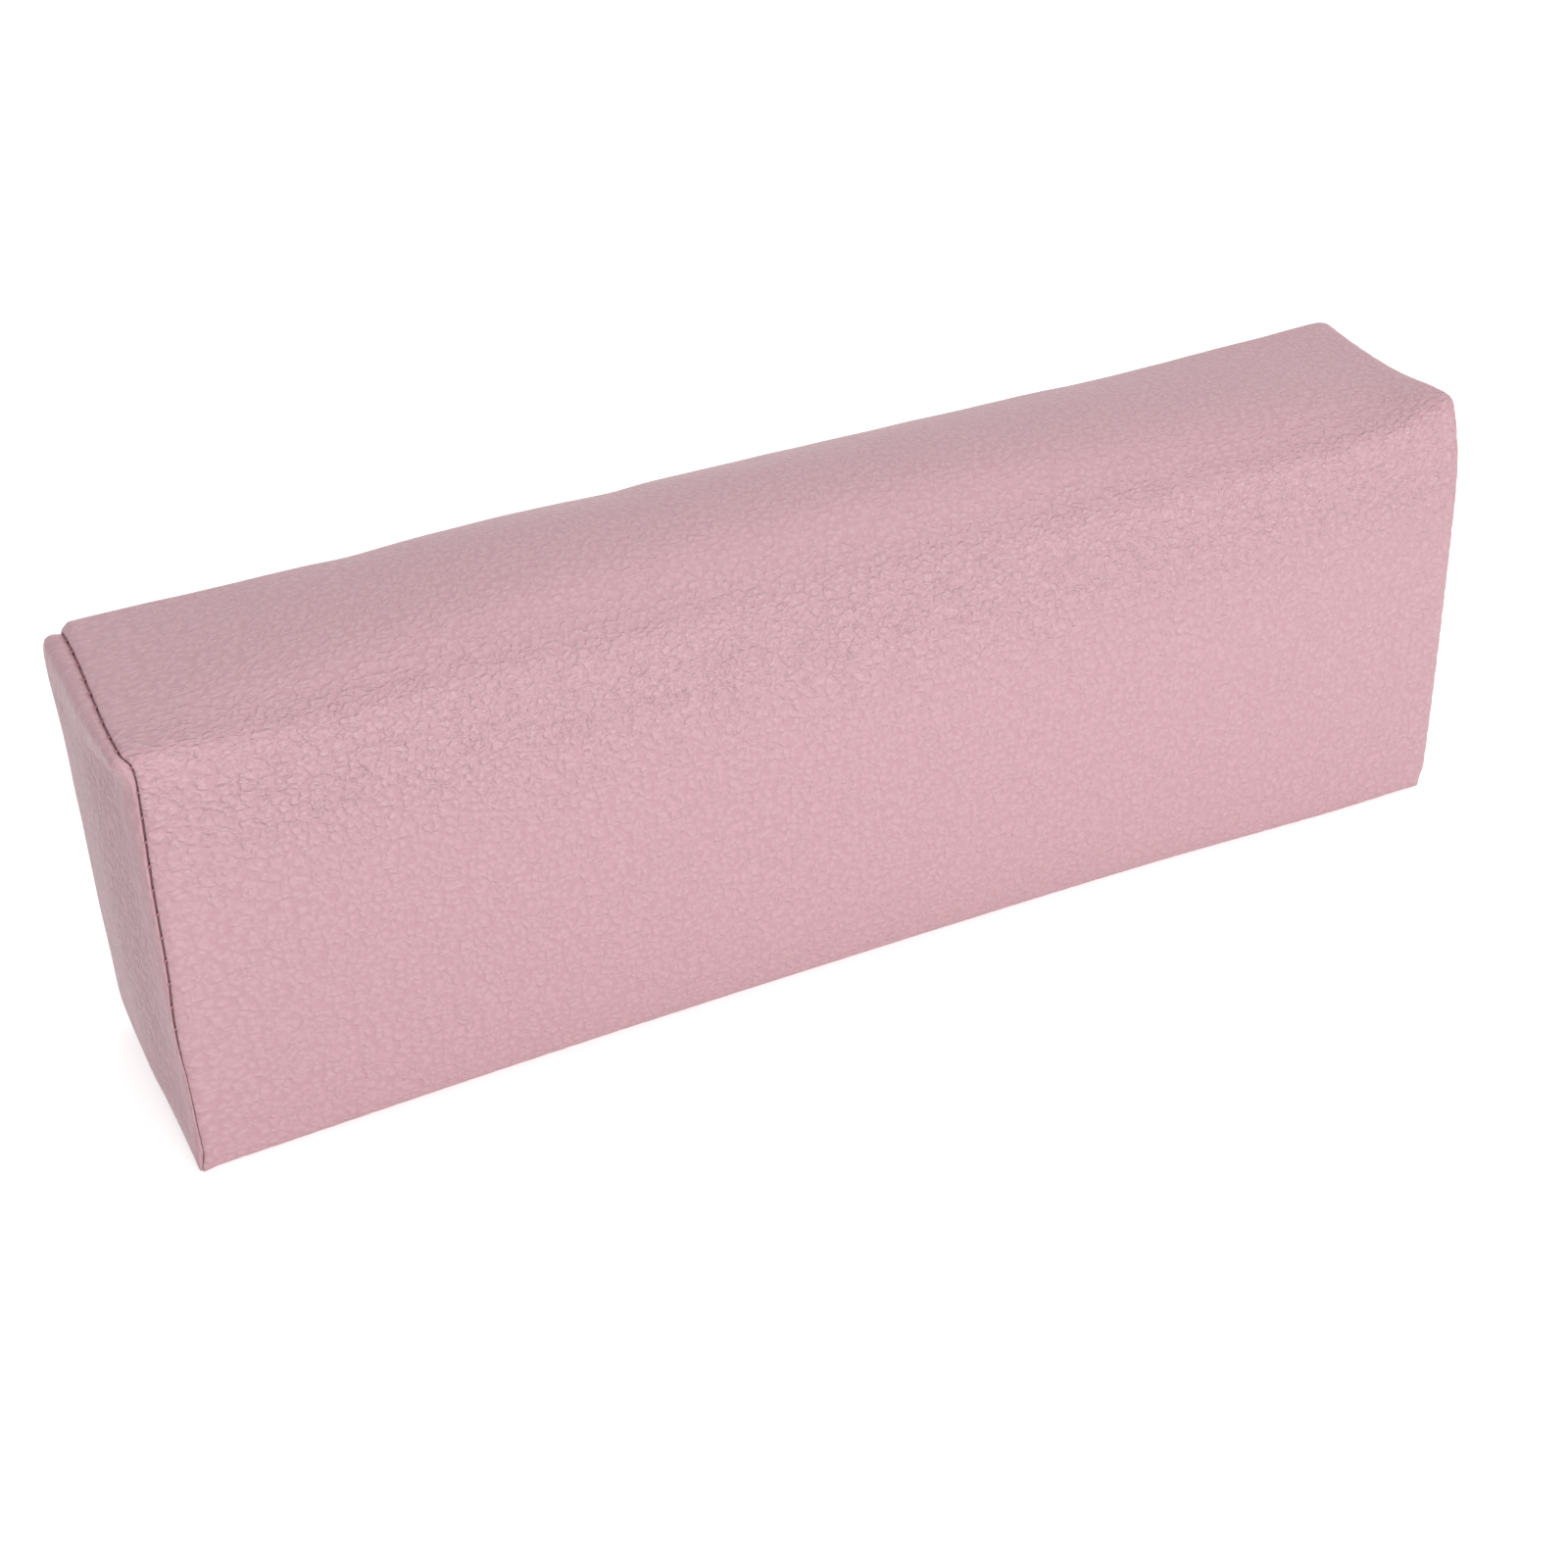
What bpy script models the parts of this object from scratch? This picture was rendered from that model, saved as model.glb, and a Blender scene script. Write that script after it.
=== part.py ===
"""Manicure hand rest: a foam block in a sewn cover of pebbled faux leather.

Metres, +Z up. The rest stands on the narrow long panel of its cover. Its length runs along X and
its front faces -Y. The origin is the middle of its footprint, on the surface that it stands on.

The cover has four panels. One strip runs up the front, over the top and down the back, a panel
closes each end, and a fourth closes the bottom. The border of each panel rolls in to its seams and
turns inwards along the mitre of the two faces, as a seam allowance does. Everything is laid out
on a block with straight sides first, and plump() then moves each point to where the filling
pushes it.
"""

import math

import bmesh
import bpy

# The block, along X, Y and Z, before the filling rounds it
LENGTH = 0.294
DEPTH = 0.056
HEIGHT = 0.100

# The sewn cover
LEATHER = 0.0012  # thickness of the faux leather with its knitted backing
ROLL_RADIUS = 0.00125  # of a panel's border, where it rolls in to the seam
ALLOWANCE = 0.0025  # width of the turned-in border past the seam line
TURNED_RADIUS = 0.0006  # left inside the turned-in border, round the top corners of an end
THREAD = 0.0006  # diameter of the sewing thread
THREAD_TURN = 0.0012  # how far the thread cuts a sharp corner
GAP = 0.0003  # between two pieces that touch

# How the filling rounds it
MIDDLE_FOLD = 0.014  # radius of the two top folds, mid-length
SIDE_CROWN = 0.0025  # of the front and the back
TOP_CROWN = 0.0020
END_BOW = 0.0018  # of the upright end seams
END_CROWN = 0.0020  # of an end panel, past its seams
END_HOLLOW = 0.0020  # of an end's top seam, between its corners
FOOT_PULL = 0.0025  # how far the long bottom seams draw in, mid-length
FOOT_LIFT = 0.0008  # how far they rise, mid-length

# Sizes that follow from these
ROLL_START = ROLL_RADIUS * (1 + math.sqrt(2))  # from a block edge to where the roll starts
SEAM_INSET = ROLL_RADIUS * (1 + math.sqrt(0.5))  # from both faces of a block edge to the seam
TURNED_INSET = SEAM_INSET + ALLOWANCE * math.sqrt(0.5)  # to the end of the turned-in border
END_FOLD = TURNED_INSET + GAP + LEATHER + TURNED_RADIUS  # radius of the top folds at the ends
FOAM_INSET = LEATHER + GAP
FOAM_CHAMFER = 2 * (TURNED_INSET + GAP - FOAM_INSET)  # clears the turned-in borders
CREASE_ANGLE = math.radians(67.5)  # half the opening of the groove that two rolled borders leave
THREAD_INSET = SEAM_INSET - (THREAD / 2 + GAP) / math.sin(CREASE_ANGLE) * math.sqrt(0.5)

# A panel's border in three steps: how deep below its face, and how far in from the block's edge
BORDER = (
    (0.0, ROLL_START),
    (SEAM_INSET, SEAM_INSET + GAP),
    (TURNED_INSET, TURNED_INSET + GAP),
)

# How finely the surfaces are divided
LENGTH_STEPS = 16
UPRIGHT_STEPS = 6
FOLD_STEPS = 4
ACROSS_STEPS = 4
CAP_RINGS = 3
FLAT_SHARE = 0.5  # share of the foot's depth that stays flat
END_REACH = 3  # power that keeps the ends' shape near the ends
FOOT_REACH = 4  # power that keeps the foot's shape near the foot
FOLD_REACH = 4  # power that keeps the folds loose up to near the ends


def linear(hex_colour):
    """A hex sRGB colour as linear red, green, blue and alpha."""
    channels = (int(hex_colour[i : i + 2], 16) / 255 for i in (1, 3, 5))
    values = [c / 12.92 if c <= 0.04045 else ((c + 0.055) / 1.055) ** 2.4 for c in channels]
    return (*values, 1.0)


def new_material(name, hex_colour, roughness):
    """A Principled material that isn't metallic."""
    material = bpy.data.materials.new(name)
    material.use_nodes = True
    shader = material.node_tree.nodes["Principled BSDF"]
    shader.inputs["Base Color"].default_value = linear(hex_colour)
    shader.inputs["Roughness"].default_value = roughness
    shader.inputs["Metallic"].default_value = 0.0
    material.diffuse_color = linear(hex_colour)
    return material


def spaced(first, last, steps):
    """Values from first to last in equal steps, with both ends."""
    return [first + (last - first) * i / steps for i in range(steps + 1)]


def eased(share):
    """A share from 0 to 1 with a soft start and a soft end."""
    held = min(1.0, max(0.0, share))
    return held * held * (3 - 2 * held)


def plump(point):
    """Moves a point of the straight-sided block to where the filling pushes it."""
    x, y, z = point
    lengthways, sideways, upwards = 2 * x / LENGTH, 2 * y / DEPTH, z / HEIGHT
    loose = 1 - lengthways**2
    belly = math.sin(math.pi * upwards)
    ridge = math.cos(math.pi / 2 * sideways)
    low = (1 - upwards) ** FOOT_REACH
    edge = eased((abs(sideways) - FLAT_SHARE) / (1 - FLAT_SHARE))
    out_at_end = (END_BOW + END_CROWN * ridge) * belly - END_HOLLOW * ridge * upwards**END_REACH
    return (
        x + lengthways**END_REACH * out_at_end,
        y + sideways * loose * (SIDE_CROWN * belly - FOOT_PULL * low),
        z + loose * (TOP_CROWN * ridge * upwards + FOOT_LIFT * edge * low),
    )


def fold_at(x):
    """The radius of the top folds: tight at the end seams, and loose between them."""
    along = min(1.0, abs(x) / (LENGTH / 2 - ROLL_START))
    return END_FOLD + (MIDDLE_FOLD - END_FOLD) * (1 - along**FOLD_REACH)


def arch(fold, inset, base):
    """The section's front, top and back as points (y, z), inset from the block.

    It runs from the height base at the front, up and over, to the same height at the back.
    """
    side, top = DEPTH / 2 - inset, HEIGHT - inset
    radius = max(fold - inset, TURNED_RADIUS)
    points = [(-side, z) for z in spaced(base, top - radius, UPRIGHT_STEPS)]
    for angle in spaced(math.pi, math.pi / 2, FOLD_STEPS)[1:]:
        y = radius - side + radius * math.cos(angle)
        points.append((y, top - radius + radius * math.sin(angle)))
    half = [(y, top) for y in spaced(radius - side, 0, ACROSS_STEPS // 2)[1:]]
    points += half
    return points + [(-y, z) for y, z in reversed(points[:-1])]


def closed_section(fold, inset, chamfer=0.0):
    """The whole section as points (y, z), with its two bottom corners sharp or chamfered."""
    half = DEPTH / 2 - inset - chamfer
    bottom = [(y, inset) for y in spaced(half, -half, ACROSS_STEPS)]
    return arch(fold, inset, inset + chamfer) + (bottom if chamfer else bottom[1:-1])


def stations(reach):
    """Places along X from -reach to reach, closer together near the ends."""
    return [reach * math.sin(math.pi / 2 * t) for t in spaced(-1, 1, LENGTH_STEPS)]


def finish(name, mesh, material):
    """Turns a bmesh into a smooth-shaded object of the scene."""
    data = bpy.data.meshes.new(name)
    mesh.to_mesh(data)
    mesh.free()
    data.materials.append(material)
    data.shade_smooth()
    data.set_sharp_from_angle(angle=math.radians(50))
    made = bpy.data.objects.new(name, data)
    bpy.context.scene.collection.objects.link(made)
    return made


def thicken(panel):
    """Gives a panel its thickness, inwards from its outer face."""
    solid = panel.modifiers.new("Leather", "SOLIDIFY")
    solid.thickness = LEATHER
    solid.offset = -1
    solid.use_even_offset = True
    solid.use_quality_normals = True


def band(mesh, first, second, closed):
    """Joins two rows of vertices, of the same number, with quads."""
    count = len(first)
    for i in range(count if closed else count - 1):
        after = (i + 1) % count
        mesh.faces.new((first[i], second[i], second[after], first[after]))


def rows_of(mesh, rows):
    """Rows of vertices at rows of block points, plumped."""
    return [[mesh.verts.new(plump(point)) for point in row] for row in rows]


def sewn_panel(name, material, rows_at):
    """A four-sided panel with its border rolled in and turned under.

    rows_at(depth, setback) gives the panel's grid of points, as rows along X, with its four outer
    sides that deep below the face and that far in from the block's edges.
    """
    mesh = bmesh.new()
    face = rows_of(mesh, rows_at(*BORDER[0]))
    for first, second in zip(face, face[1:]):
        band(mesh, first, second, closed=False)
    edge = border_of(face)
    for depth, setback in BORDER[1:]:
        further = rows_of(mesh, [border_of(rows_at(depth, setback))])[0]
        band(mesh, further, edge, closed=True)
        edge = further
    thicken(finish(name, mesh, material))


def border_of(rows):
    """The outermost entries of a grid, in order round it."""
    right = [row[-1] for row in rows[1:-1]]
    left = [row[0] for row in rows[1:-1]]
    return list(rows[0]) + right + list(reversed(rows[-1])) + list(reversed(left))


def wrap_rows(depth, setback):
    """The strip over the front, top and back."""
    rows = []
    for x in stations(LENGTH / 2 - setback):
        rows.append([(x, y, z) for y, z in arch(fold_at(x), depth, setback)])
    return rows


def bottom_rows(depth, setback):
    """The panel that the rest stands on."""
    half = DEPTH / 2 - setback
    across = spaced(half, -half, ACROSS_STEPS)
    return [[(x, y, depth) for y in across] for x in stations(LENGTH / 2 - setback)]


def ring_at(x, section):
    """A closed section placed at x."""
    return [(x, y, z) for y, z in section]


def shrunk(section, share):
    """A section drawn in to this share of its size, about its middle."""
    return [(y * share, HEIGHT / 2 + (z - HEIGHT / 2) * share) for y, z in section]


def cap(mesh, rings, x, section):
    """Closes the last of some rings with smaller ones and a point in the middle."""
    for k in range(1, CAP_RINGS):
        rings += rows_of(mesh, [ring_at(x, shrunk(section, 1 - k / CAP_RINGS))])
        band(mesh, rings[-2], rings[-1], closed=True)
    middle = mesh.verts.new(plump((x, 0.0, HEIGHT / 2)))
    last = rings[-1]
    for i in range(len(last)):
        mesh.faces.new((last[i], middle, last[(i + 1) % len(last)]))


def end_panel(name, material, side):
    """The panel that closes one end, side being -1 at the left and 1 at the right."""
    mesh = bmesh.new()
    rings = []
    for depth, setback in reversed(BORDER):
        section = closed_section(END_FOLD, setback)
        rings += rows_of(mesh, [ring_at(side * (LENGTH / 2 - depth), section)])
    for first, second in zip(rings, rings[1:]):
        band(mesh, first, second, closed=True)
    cap(mesh, rings, side * LENGTH / 2, closed_section(END_FOLD, ROLL_START))
    if side < 0:
        bmesh.ops.reverse_faces(mesh, faces=mesh.faces)
    thicken(finish(name, mesh, material))


def foam_core(name, material):
    """The filling, chamfered where the turned-in borders lie."""
    mesh = bmesh.new()
    end_x, end_inset = LENGTH / 2 - FOAM_INSET, FOAM_INSET + FOAM_CHAMFER
    end_section = closed_section(END_FOLD, end_inset, FOAM_CHAMFER)
    rows = [ring_at(-end_x, end_section)]
    for x in stations(end_x - FOAM_CHAMFER):
        rows.append(ring_at(x, closed_section(fold_at(x), FOAM_INSET, FOAM_CHAMFER)))
    rows.append(ring_at(end_x, end_section))
    rings = rows_of(mesh, rows)
    for first, second in zip(rings, rings[1:]):
        band(mesh, first, second, closed=True)
    cap(mesh, rings[:], end_x, end_section)
    cap(mesh, rings[:1], -end_x, end_section)
    bmesh.ops.recalc_face_normals(mesh, faces=mesh.faces)
    finish(name, mesh, material)


def thread(name, material, route, closed):
    """A sewing thread along a route on the block, as a thin round tube."""
    curve = bpy.data.curves.new(name, "CURVE")
    curve.dimensions = "3D"
    curve.bevel_depth = THREAD / 2
    curve.bevel_resolution = 1
    curve.use_fill_caps = not closed
    curve.materials.append(material)
    spline = curve.splines.new("POLY")
    spline.points.add(len(route) - 1)
    for point, place in zip(spline.points, route):
        point.co = (*plump(place), 1.0)
    spline.use_cyclic_u = closed
    bpy.context.scene.collection.objects.link(bpy.data.objects.new(name, curve))


def sew(material):
    """The thread round each end, and the threads along the two long bottom seams."""
    for name, side in (("thread_left_end", -1), ("thread_right_end", 1)):
        section = closed_section(END_FOLD, THREAD_INSET, THREAD_TURN)
        route = ring_at(side * (LENGTH / 2 - THREAD_INSET), section)
        thread(name, material, route, closed=True)
    for name, side in (("thread_bottom_front", -1), ("thread_bottom_back", 1)):
        y = side * (DEPTH / 2 - THREAD_INSET)
        reach = LENGTH / 2 - THREAD_INSET - THREAD_TURN - THREAD - GAP
        route = [(x, y, THREAD_INSET) for x in stations(reach)]
        thread(name, material, route, closed=False)


def main():
    for old in list(bpy.data.objects):
        bpy.data.objects.remove(old, do_unlink=True)
    leather = new_material("pink_faux_leather", "#D3A3AB", 0.50)
    foam_core("foam_core", new_material("white_foam", "#F1EDE4", 0.90))
    sewn_panel("cover_wrap", leather, wrap_rows)
    sewn_panel("bottom_panel", leather, bottom_rows)
    end_panel("end_panel_left", leather, -1)
    end_panel("end_panel_right", leather, 1)
    sew(new_material("sewing_thread", "#B9868E", 0.60))


main()
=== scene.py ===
"""Dresses the manicure hand rest: a foam cushion in a sewn cover of pebbled pink faux leather.

The cushion is one closed skin. A coarse net of the sewn block is blown up by a cloth simulation, as
the foam pushes the cover out, and smooth surfaces are drawn through it. Each panel's border then
rolls in to its seams, and the thread crosses the open seams in bites.
"""

import logging
import math
from dataclasses import dataclass, field
from enum import Enum

import bpy
import numpy as np
from mathutils import Matrix, Vector, noise


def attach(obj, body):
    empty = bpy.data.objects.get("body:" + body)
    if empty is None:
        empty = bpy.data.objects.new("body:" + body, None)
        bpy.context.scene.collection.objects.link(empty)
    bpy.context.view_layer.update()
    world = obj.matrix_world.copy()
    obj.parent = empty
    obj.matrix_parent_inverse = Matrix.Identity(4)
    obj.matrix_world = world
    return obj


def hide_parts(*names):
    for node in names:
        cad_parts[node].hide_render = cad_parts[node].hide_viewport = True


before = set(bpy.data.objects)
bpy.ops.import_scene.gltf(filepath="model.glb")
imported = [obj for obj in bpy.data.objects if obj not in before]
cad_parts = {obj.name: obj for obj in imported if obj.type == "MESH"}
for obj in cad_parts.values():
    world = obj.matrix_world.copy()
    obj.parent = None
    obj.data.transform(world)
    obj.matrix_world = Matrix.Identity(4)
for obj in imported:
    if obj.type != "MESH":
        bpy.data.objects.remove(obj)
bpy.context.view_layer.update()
LOG = logging.getLogger("hand_rest")
MM = 0.001


class Panel(Enum):
    """The four panels of the cover."""

    WRAP = "wrap"
    BOTTOM = "bottom"
    LEFT = "left"
    RIGHT = "right"


class Seam(Enum):
    """The six runs of seam between the panels."""

    LEFT_ARCH = "left_arch"
    RIGHT_ARCH = "right_arch"
    LEFT_FOOT = "left_foot"
    RIGHT_FOOT = "right_foot"
    FRONT_FOOT = "front_foot"
    BACK_FOOT = "back_foot"


# The runs of seam that meet at each corner of three panels, with the end of each run.
CORNERS = (
    ((Seam.LEFT_ARCH, 0), (Seam.LEFT_FOOT, 0), (Seam.FRONT_FOOT, 0)),
    ((Seam.LEFT_ARCH, -1), (Seam.LEFT_FOOT, -1), (Seam.BACK_FOOT, 0)),
    ((Seam.RIGHT_ARCH, 0), (Seam.RIGHT_FOOT, 0), (Seam.FRONT_FOOT, -1)),
    ((Seam.RIGHT_ARCH, -1), (Seam.RIGHT_FOOT, -1), (Seam.BACK_FOOT, -1)),
)


def linear(hex_colour: str) -> tuple[float, float, float, float]:
    """Turns an sRGB colour into the linear one that Blender's sockets take.

    Args:
        hex_colour: The colour as "#RRGGBB".

    Returns:
        Linear red, green, blue and an alpha of 1.
    """
    channels = [int(hex_colour[i : i + 2], 16) / 255 for i in (1, 3, 5)]
    values = [c / 12.92 if c <= 0.04045 else ((c + 0.055) / 1.055) ** 2.4 for c in channels]
    return values[0], values[1], values[2], 1.0


def add_node(tree: bpy.types.NodeTree, kind: str, inputs: dict | None = None, **settings) -> bpy.types.Node:
    """Adds a node with its settings and fills or links its inputs.

    Args:
        tree: The node tree.
        kind: The node's Blender type.
        inputs: A value or an output socket for each input, by name or by number.
        **settings: The node's own properties.

    Returns:
        The node.
    """
    made = tree.nodes.new(kind)
    for name, value in settings.items():
        setattr(made, name, value)
    for key, value in (inputs or {}).items():
        if isinstance(value, bpy.types.NodeSocket):
            tree.links.new(value, made.inputs[key])
        else:
            made.inputs[key].default_value = value
    return made


def unit(vectors: np.ndarray) -> np.ndarray:
    """Scales vectors, along the last axis, to a length of 1."""
    return vectors / np.maximum(np.linalg.norm(vectors, axis=-1, keepdims=True), 1e-12)


def eased(share: np.ndarray) -> np.ndarray:
    """Shares from 0 to 1 with a soft start and a soft end, held at both."""
    held = np.clip(share, 0.0, 1.0)
    return held * held * (3 - 2 * held)


@dataclass(frozen=True)
class Block:
    """The straight-sided block that the cover is cut for, as the frame's solids are."""

    length: float = 0.294
    depth: float = 0.056
    height: float = 0.100

    @property
    def strip(self) -> float:
        """How long the wrap is, up the front, over the top and down the back."""
        return 2 * self.height + self.depth


def spline_weights(places: np.ndarray, count: int, slope: bool = False) -> np.ndarray:
    """The weights of a uniform cubic B-spline that runs through its first and last points.

    Args:
        places: Where to read the spline, in steps from its first point.
        count: How many points control it.
        slope: Whether to give the weights of its slope instead of those of its value.

    Returns:
        One row of weights for each place.
    """
    cell = np.clip(np.floor(places).astype(int), 0, count - 2)
    t = places - cell
    if slope:
        basis = (-((1 - t) ** 2) / 2, (3 * t * t - 4 * t) / 2, (-3 * t * t + 2 * t + 1) / 2, t * t / 2)
    else:
        basis = (
            (1 - t) ** 3 / 6,
            (3 * t**3 - 6 * t * t + 4) / 6,
            (-3 * t**3 + 3 * t * t + 3 * t + 1) / 6,
            t**3 / 6,
        )
    weights = np.zeros((len(places), count + 2))
    for k, value in enumerate(basis):
        weights[np.arange(len(places)), cell + k] += value
    # The point before the first mirrors the second one about it, and so at the end.
    weights[:, 1] += 2 * weights[:, 0]
    weights[:, 2] -= weights[:, 0]
    weights[:, count] += 2 * weights[:, count + 1]
    weights[:, count - 1] -= weights[:, count + 1]
    return weights[:, 1:-1]


@dataclass
class SmoothFace:
    """A smooth surface drawn through a grid of control points.

    Attributes:
        control: The grid of points, in metres.
        turned: Whether the surface faces against the product of its two directions.
    """

    control: np.ndarray
    turned: bool = False

    def at(self, rows: np.ndarray, columns: np.ndarray) -> np.ndarray:
        """Points at every row and column, given in steps of the grid."""
        across = spline_weights(rows, self.control.shape[0])
        along = spline_weights(columns, self.control.shape[1])
        return np.einsum("ri,cj,ijk->rck", across, along, self.control)

    def normals(self, rows: np.ndarray, columns: np.ndarray) -> np.ndarray:
        """The outward normals at every row and column, given in steps of the grid."""
        count_r, count_c = self.control.shape[:2]
        row_slopes, column_slopes = (
            np.einsum(
                "ri,cj,ijk->rck",
                spline_weights(rows, count_r, along_rows),
                spline_weights(columns, count_c, not along_rows),
                self.control,
            )
            for along_rows in (True, False)
        )
        outward = unit(np.cross(row_slopes, column_slopes))
        return -outward if self.turned else outward


@dataclass
class Filling:
    """The foam's push on the cover, from a cloth simulation of the sewn block.

    Attributes:
        block: The block that the cover is cut for.
        cells: How many cells the coarse net has along X, Y and Z.
        pressure: The pressure that stands for the squeezed foam.
        stretch: The leather's stiffness against stretching.
        bend: Its stiffness against bending, low so that the top folds grow round.
        damping: How fast the net stops swinging.
        mass: The net's mass.
        quality: How many steps each frame takes.
        frames: How long the simulation runs.
        give: The share of the simulated swelling that stays, because foam holds its own shape.
        firm: How far from an end its seams' four layers of leather keep the cover straight.
        reach: How far a point may move at most.
        evening: How many times the swelling is evened out lengthways.
        flat_share: The share of the foot's depth that the table keeps flat.
    """

    block: Block
    cells: tuple[int, int, int] = (50, 10, 18)
    pressure: float = 4.0
    stretch: float = 200.0
    bend: float = 0.1
    damping: float = 25.0
    mass: float = 0.3
    quality: int = 12
    frames: int = 40
    give: float = 0.5
    firm: float = 25.0 * MM
    reach: float = 7.0 * MM
    evening: int = 12
    flat_share: float = 0.6

    def net(self) -> tuple[dict[tuple[int, int, int], int], np.ndarray, list[list[int]]]:
        """The coarse net of the block's six faces, joined at every edge.

        Returns:
            The number of each lattice point, the points, and the quads.
        """
        nx, ny, nz = self.cells
        span = np.array([self.block.length, self.block.depth, self.block.height])
        low = np.array([-span[0] / 2, -span[1] / 2, 0.0])
        numbers: dict[tuple[int, int, int], int] = {}
        for i in range(nx + 1):
            for j in range(ny + 1):
                for k in range(nz + 1):
                    if i in (0, nx) or j in (0, ny) or k in (0, nz):
                        numbers[i, j, k] = len(numbers)
        points = low + np.array(list(numbers)) / np.array(self.cells) * span
        quads = []
        for axis, (a, b) in enumerate(((1, 2), (2, 0), (0, 1))):
            for level in (0, self.cells[axis]):
                for p in range(self.cells[a]):
                    for q in range(self.cells[b]):
                        ring = [(p, q), (p + 1, q), (p + 1, q + 1), (p, q + 1)]
                        corners = []
                        for at_a, at_b in ring if level else ring[::-1]:
                            key = [0, 0, 0]
                            key[axis], key[a], key[b] = level, at_a, at_b
                            corners.append(numbers[key[0], key[1], key[2]])
                        quads.append(corners)
        return numbers, points, quads

    def blow_up(self, points: np.ndarray, quads: list[list[int]], held: list[int]) -> np.ndarray:
        """Runs the cloth simulation on the coarse net and applies its result.

        Args:
            points: The net's points at rest.
            quads: Its faces.
            held: The points that stay where they are, on the table.

        Returns:
            The points after the simulation.
        """
        mesh = bpy.data.meshes.new("coarse_net")
        mesh.from_pydata(points.tolist(), [], quads)
        net = bpy.data.objects.new("coarse_net", mesh)
        bpy.context.scene.collection.objects.link(net)
        net.vertex_groups.new(name="foot").add(held, 1.0, "REPLACE")
        cloth = net.modifiers.new("Filling", "CLOTH")
        settings = cloth.settings
        settings.quality = self.quality
        settings.mass = self.mass
        settings.tension_stiffness = settings.compression_stiffness = self.stretch
        settings.shear_stiffness = self.stretch / 2
        settings.bending_stiffness = self.bend
        settings.tension_damping = settings.compression_damping = settings.shear_damping = self.damping
        settings.use_pressure = True
        settings.uniform_pressure_force = self.pressure
        settings.effector_weights.gravity = 0
        settings.vertex_group_mass = "foot"
        cloth.collision_settings.use_collision = False
        cloth.point_cache.frame_end = self.frames
        for number in range(1, self.frames + 1):
            bpy.context.scene.frame_set(number)
        shown = net.evaluated_get(bpy.context.evaluated_depsgraph_get())
        flat = np.zeros(len(points) * 3)
        shown.data.vertices.foreach_get("co", flat)
        net.modifiers.remove(cloth)
        bpy.data.objects.remove(net, do_unlink=True)
        bpy.data.meshes.remove(mesh)
        bpy.context.scene.frame_set(1)
        return flat.reshape(-1, 3)

    def settle(self) -> dict[Panel, np.ndarray]:
        """Blows the net up and gives each panel's grid of control points."""
        nx, ny, nz = self.cells
        numbers, points, quads = self.net()
        middle, half = ny / 2, ny / 2 * self.flat_share
        held = [n for (i, j, k), n in numbers.items() if k == 0 and abs(j - middle) <= half]
        moved = self.give * (self.blow_up(points, quads, held) - points)
        far = np.maximum(np.linalg.norm(moved, axis=1, keepdims=True), 1e-9)
        moved *= np.minimum(1.0, self.reach / far)
        before, after = np.arange(len(points)), np.arange(len(points))
        for (i, j, k), n in numbers.items():
            if 0 < i < nx and (j in (0, ny) or k in (0, nz)):
                before[n], after[n] = numbers[i - 1, j, k], numbers[i + 1, j, k]
        for _ in range(self.evening):
            moved = (moved[before] + 2 * moved + moved[after]) / 4
        from_end = self.block.length / 2 - np.abs(points[:, :1])
        moved[:, 1:] *= 1 - np.exp(-from_end / self.firm)
        LOG.info("filling: %d points moved by up to %.1f mm", len(points), 1000 * np.abs(moved).max())
        settled = points + moved
        arch = [(0, k) for k in range(nz + 1)] + [(j, nz) for j in range(1, ny + 1)]
        arch += [(ny, k) for k in range(nz - 1, -1, -1)]
        lattice = {
            Panel.WRAP: [[(i, j, k) for j, k in arch] for i in range(nx + 1)],
            Panel.BOTTOM: [[(i, j, 0) for j in range(ny + 1)] for i in range(nx + 1)],
            Panel.LEFT: [[(0, j, k) for k in range(nz + 1)] for j in range(ny + 1)],
            Panel.RIGHT: [[(nx, j, k) for k in range(nz + 1)] for j in range(ny + 1)],
        }
        return {
            panel: np.array([[settled[numbers[key]] for key in row] for row in rows])
            for panel, rows in lattice.items()
        }


@dataclass(frozen=True)
class Puff:
    """A corner of the cushion that the foam fills more, or less, than the rest.

    Attributes:
        centre: The corner, in millimetres.
        move: How far the cover moves there, in millimetres.
        reach: How far round the corner this goes, in millimetres.
    """

    centre: tuple[float, float, float]
    move: tuple[float, float, float]
    reach: float

    def push(self, points: np.ndarray) -> np.ndarray:
        """The move of each point, in metres."""
        away = np.linalg.norm(points / MM - self.centre, axis=-1, keepdims=True) / self.reach
        return np.exp(-(away**2)) * np.array(self.move) * MM


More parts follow.
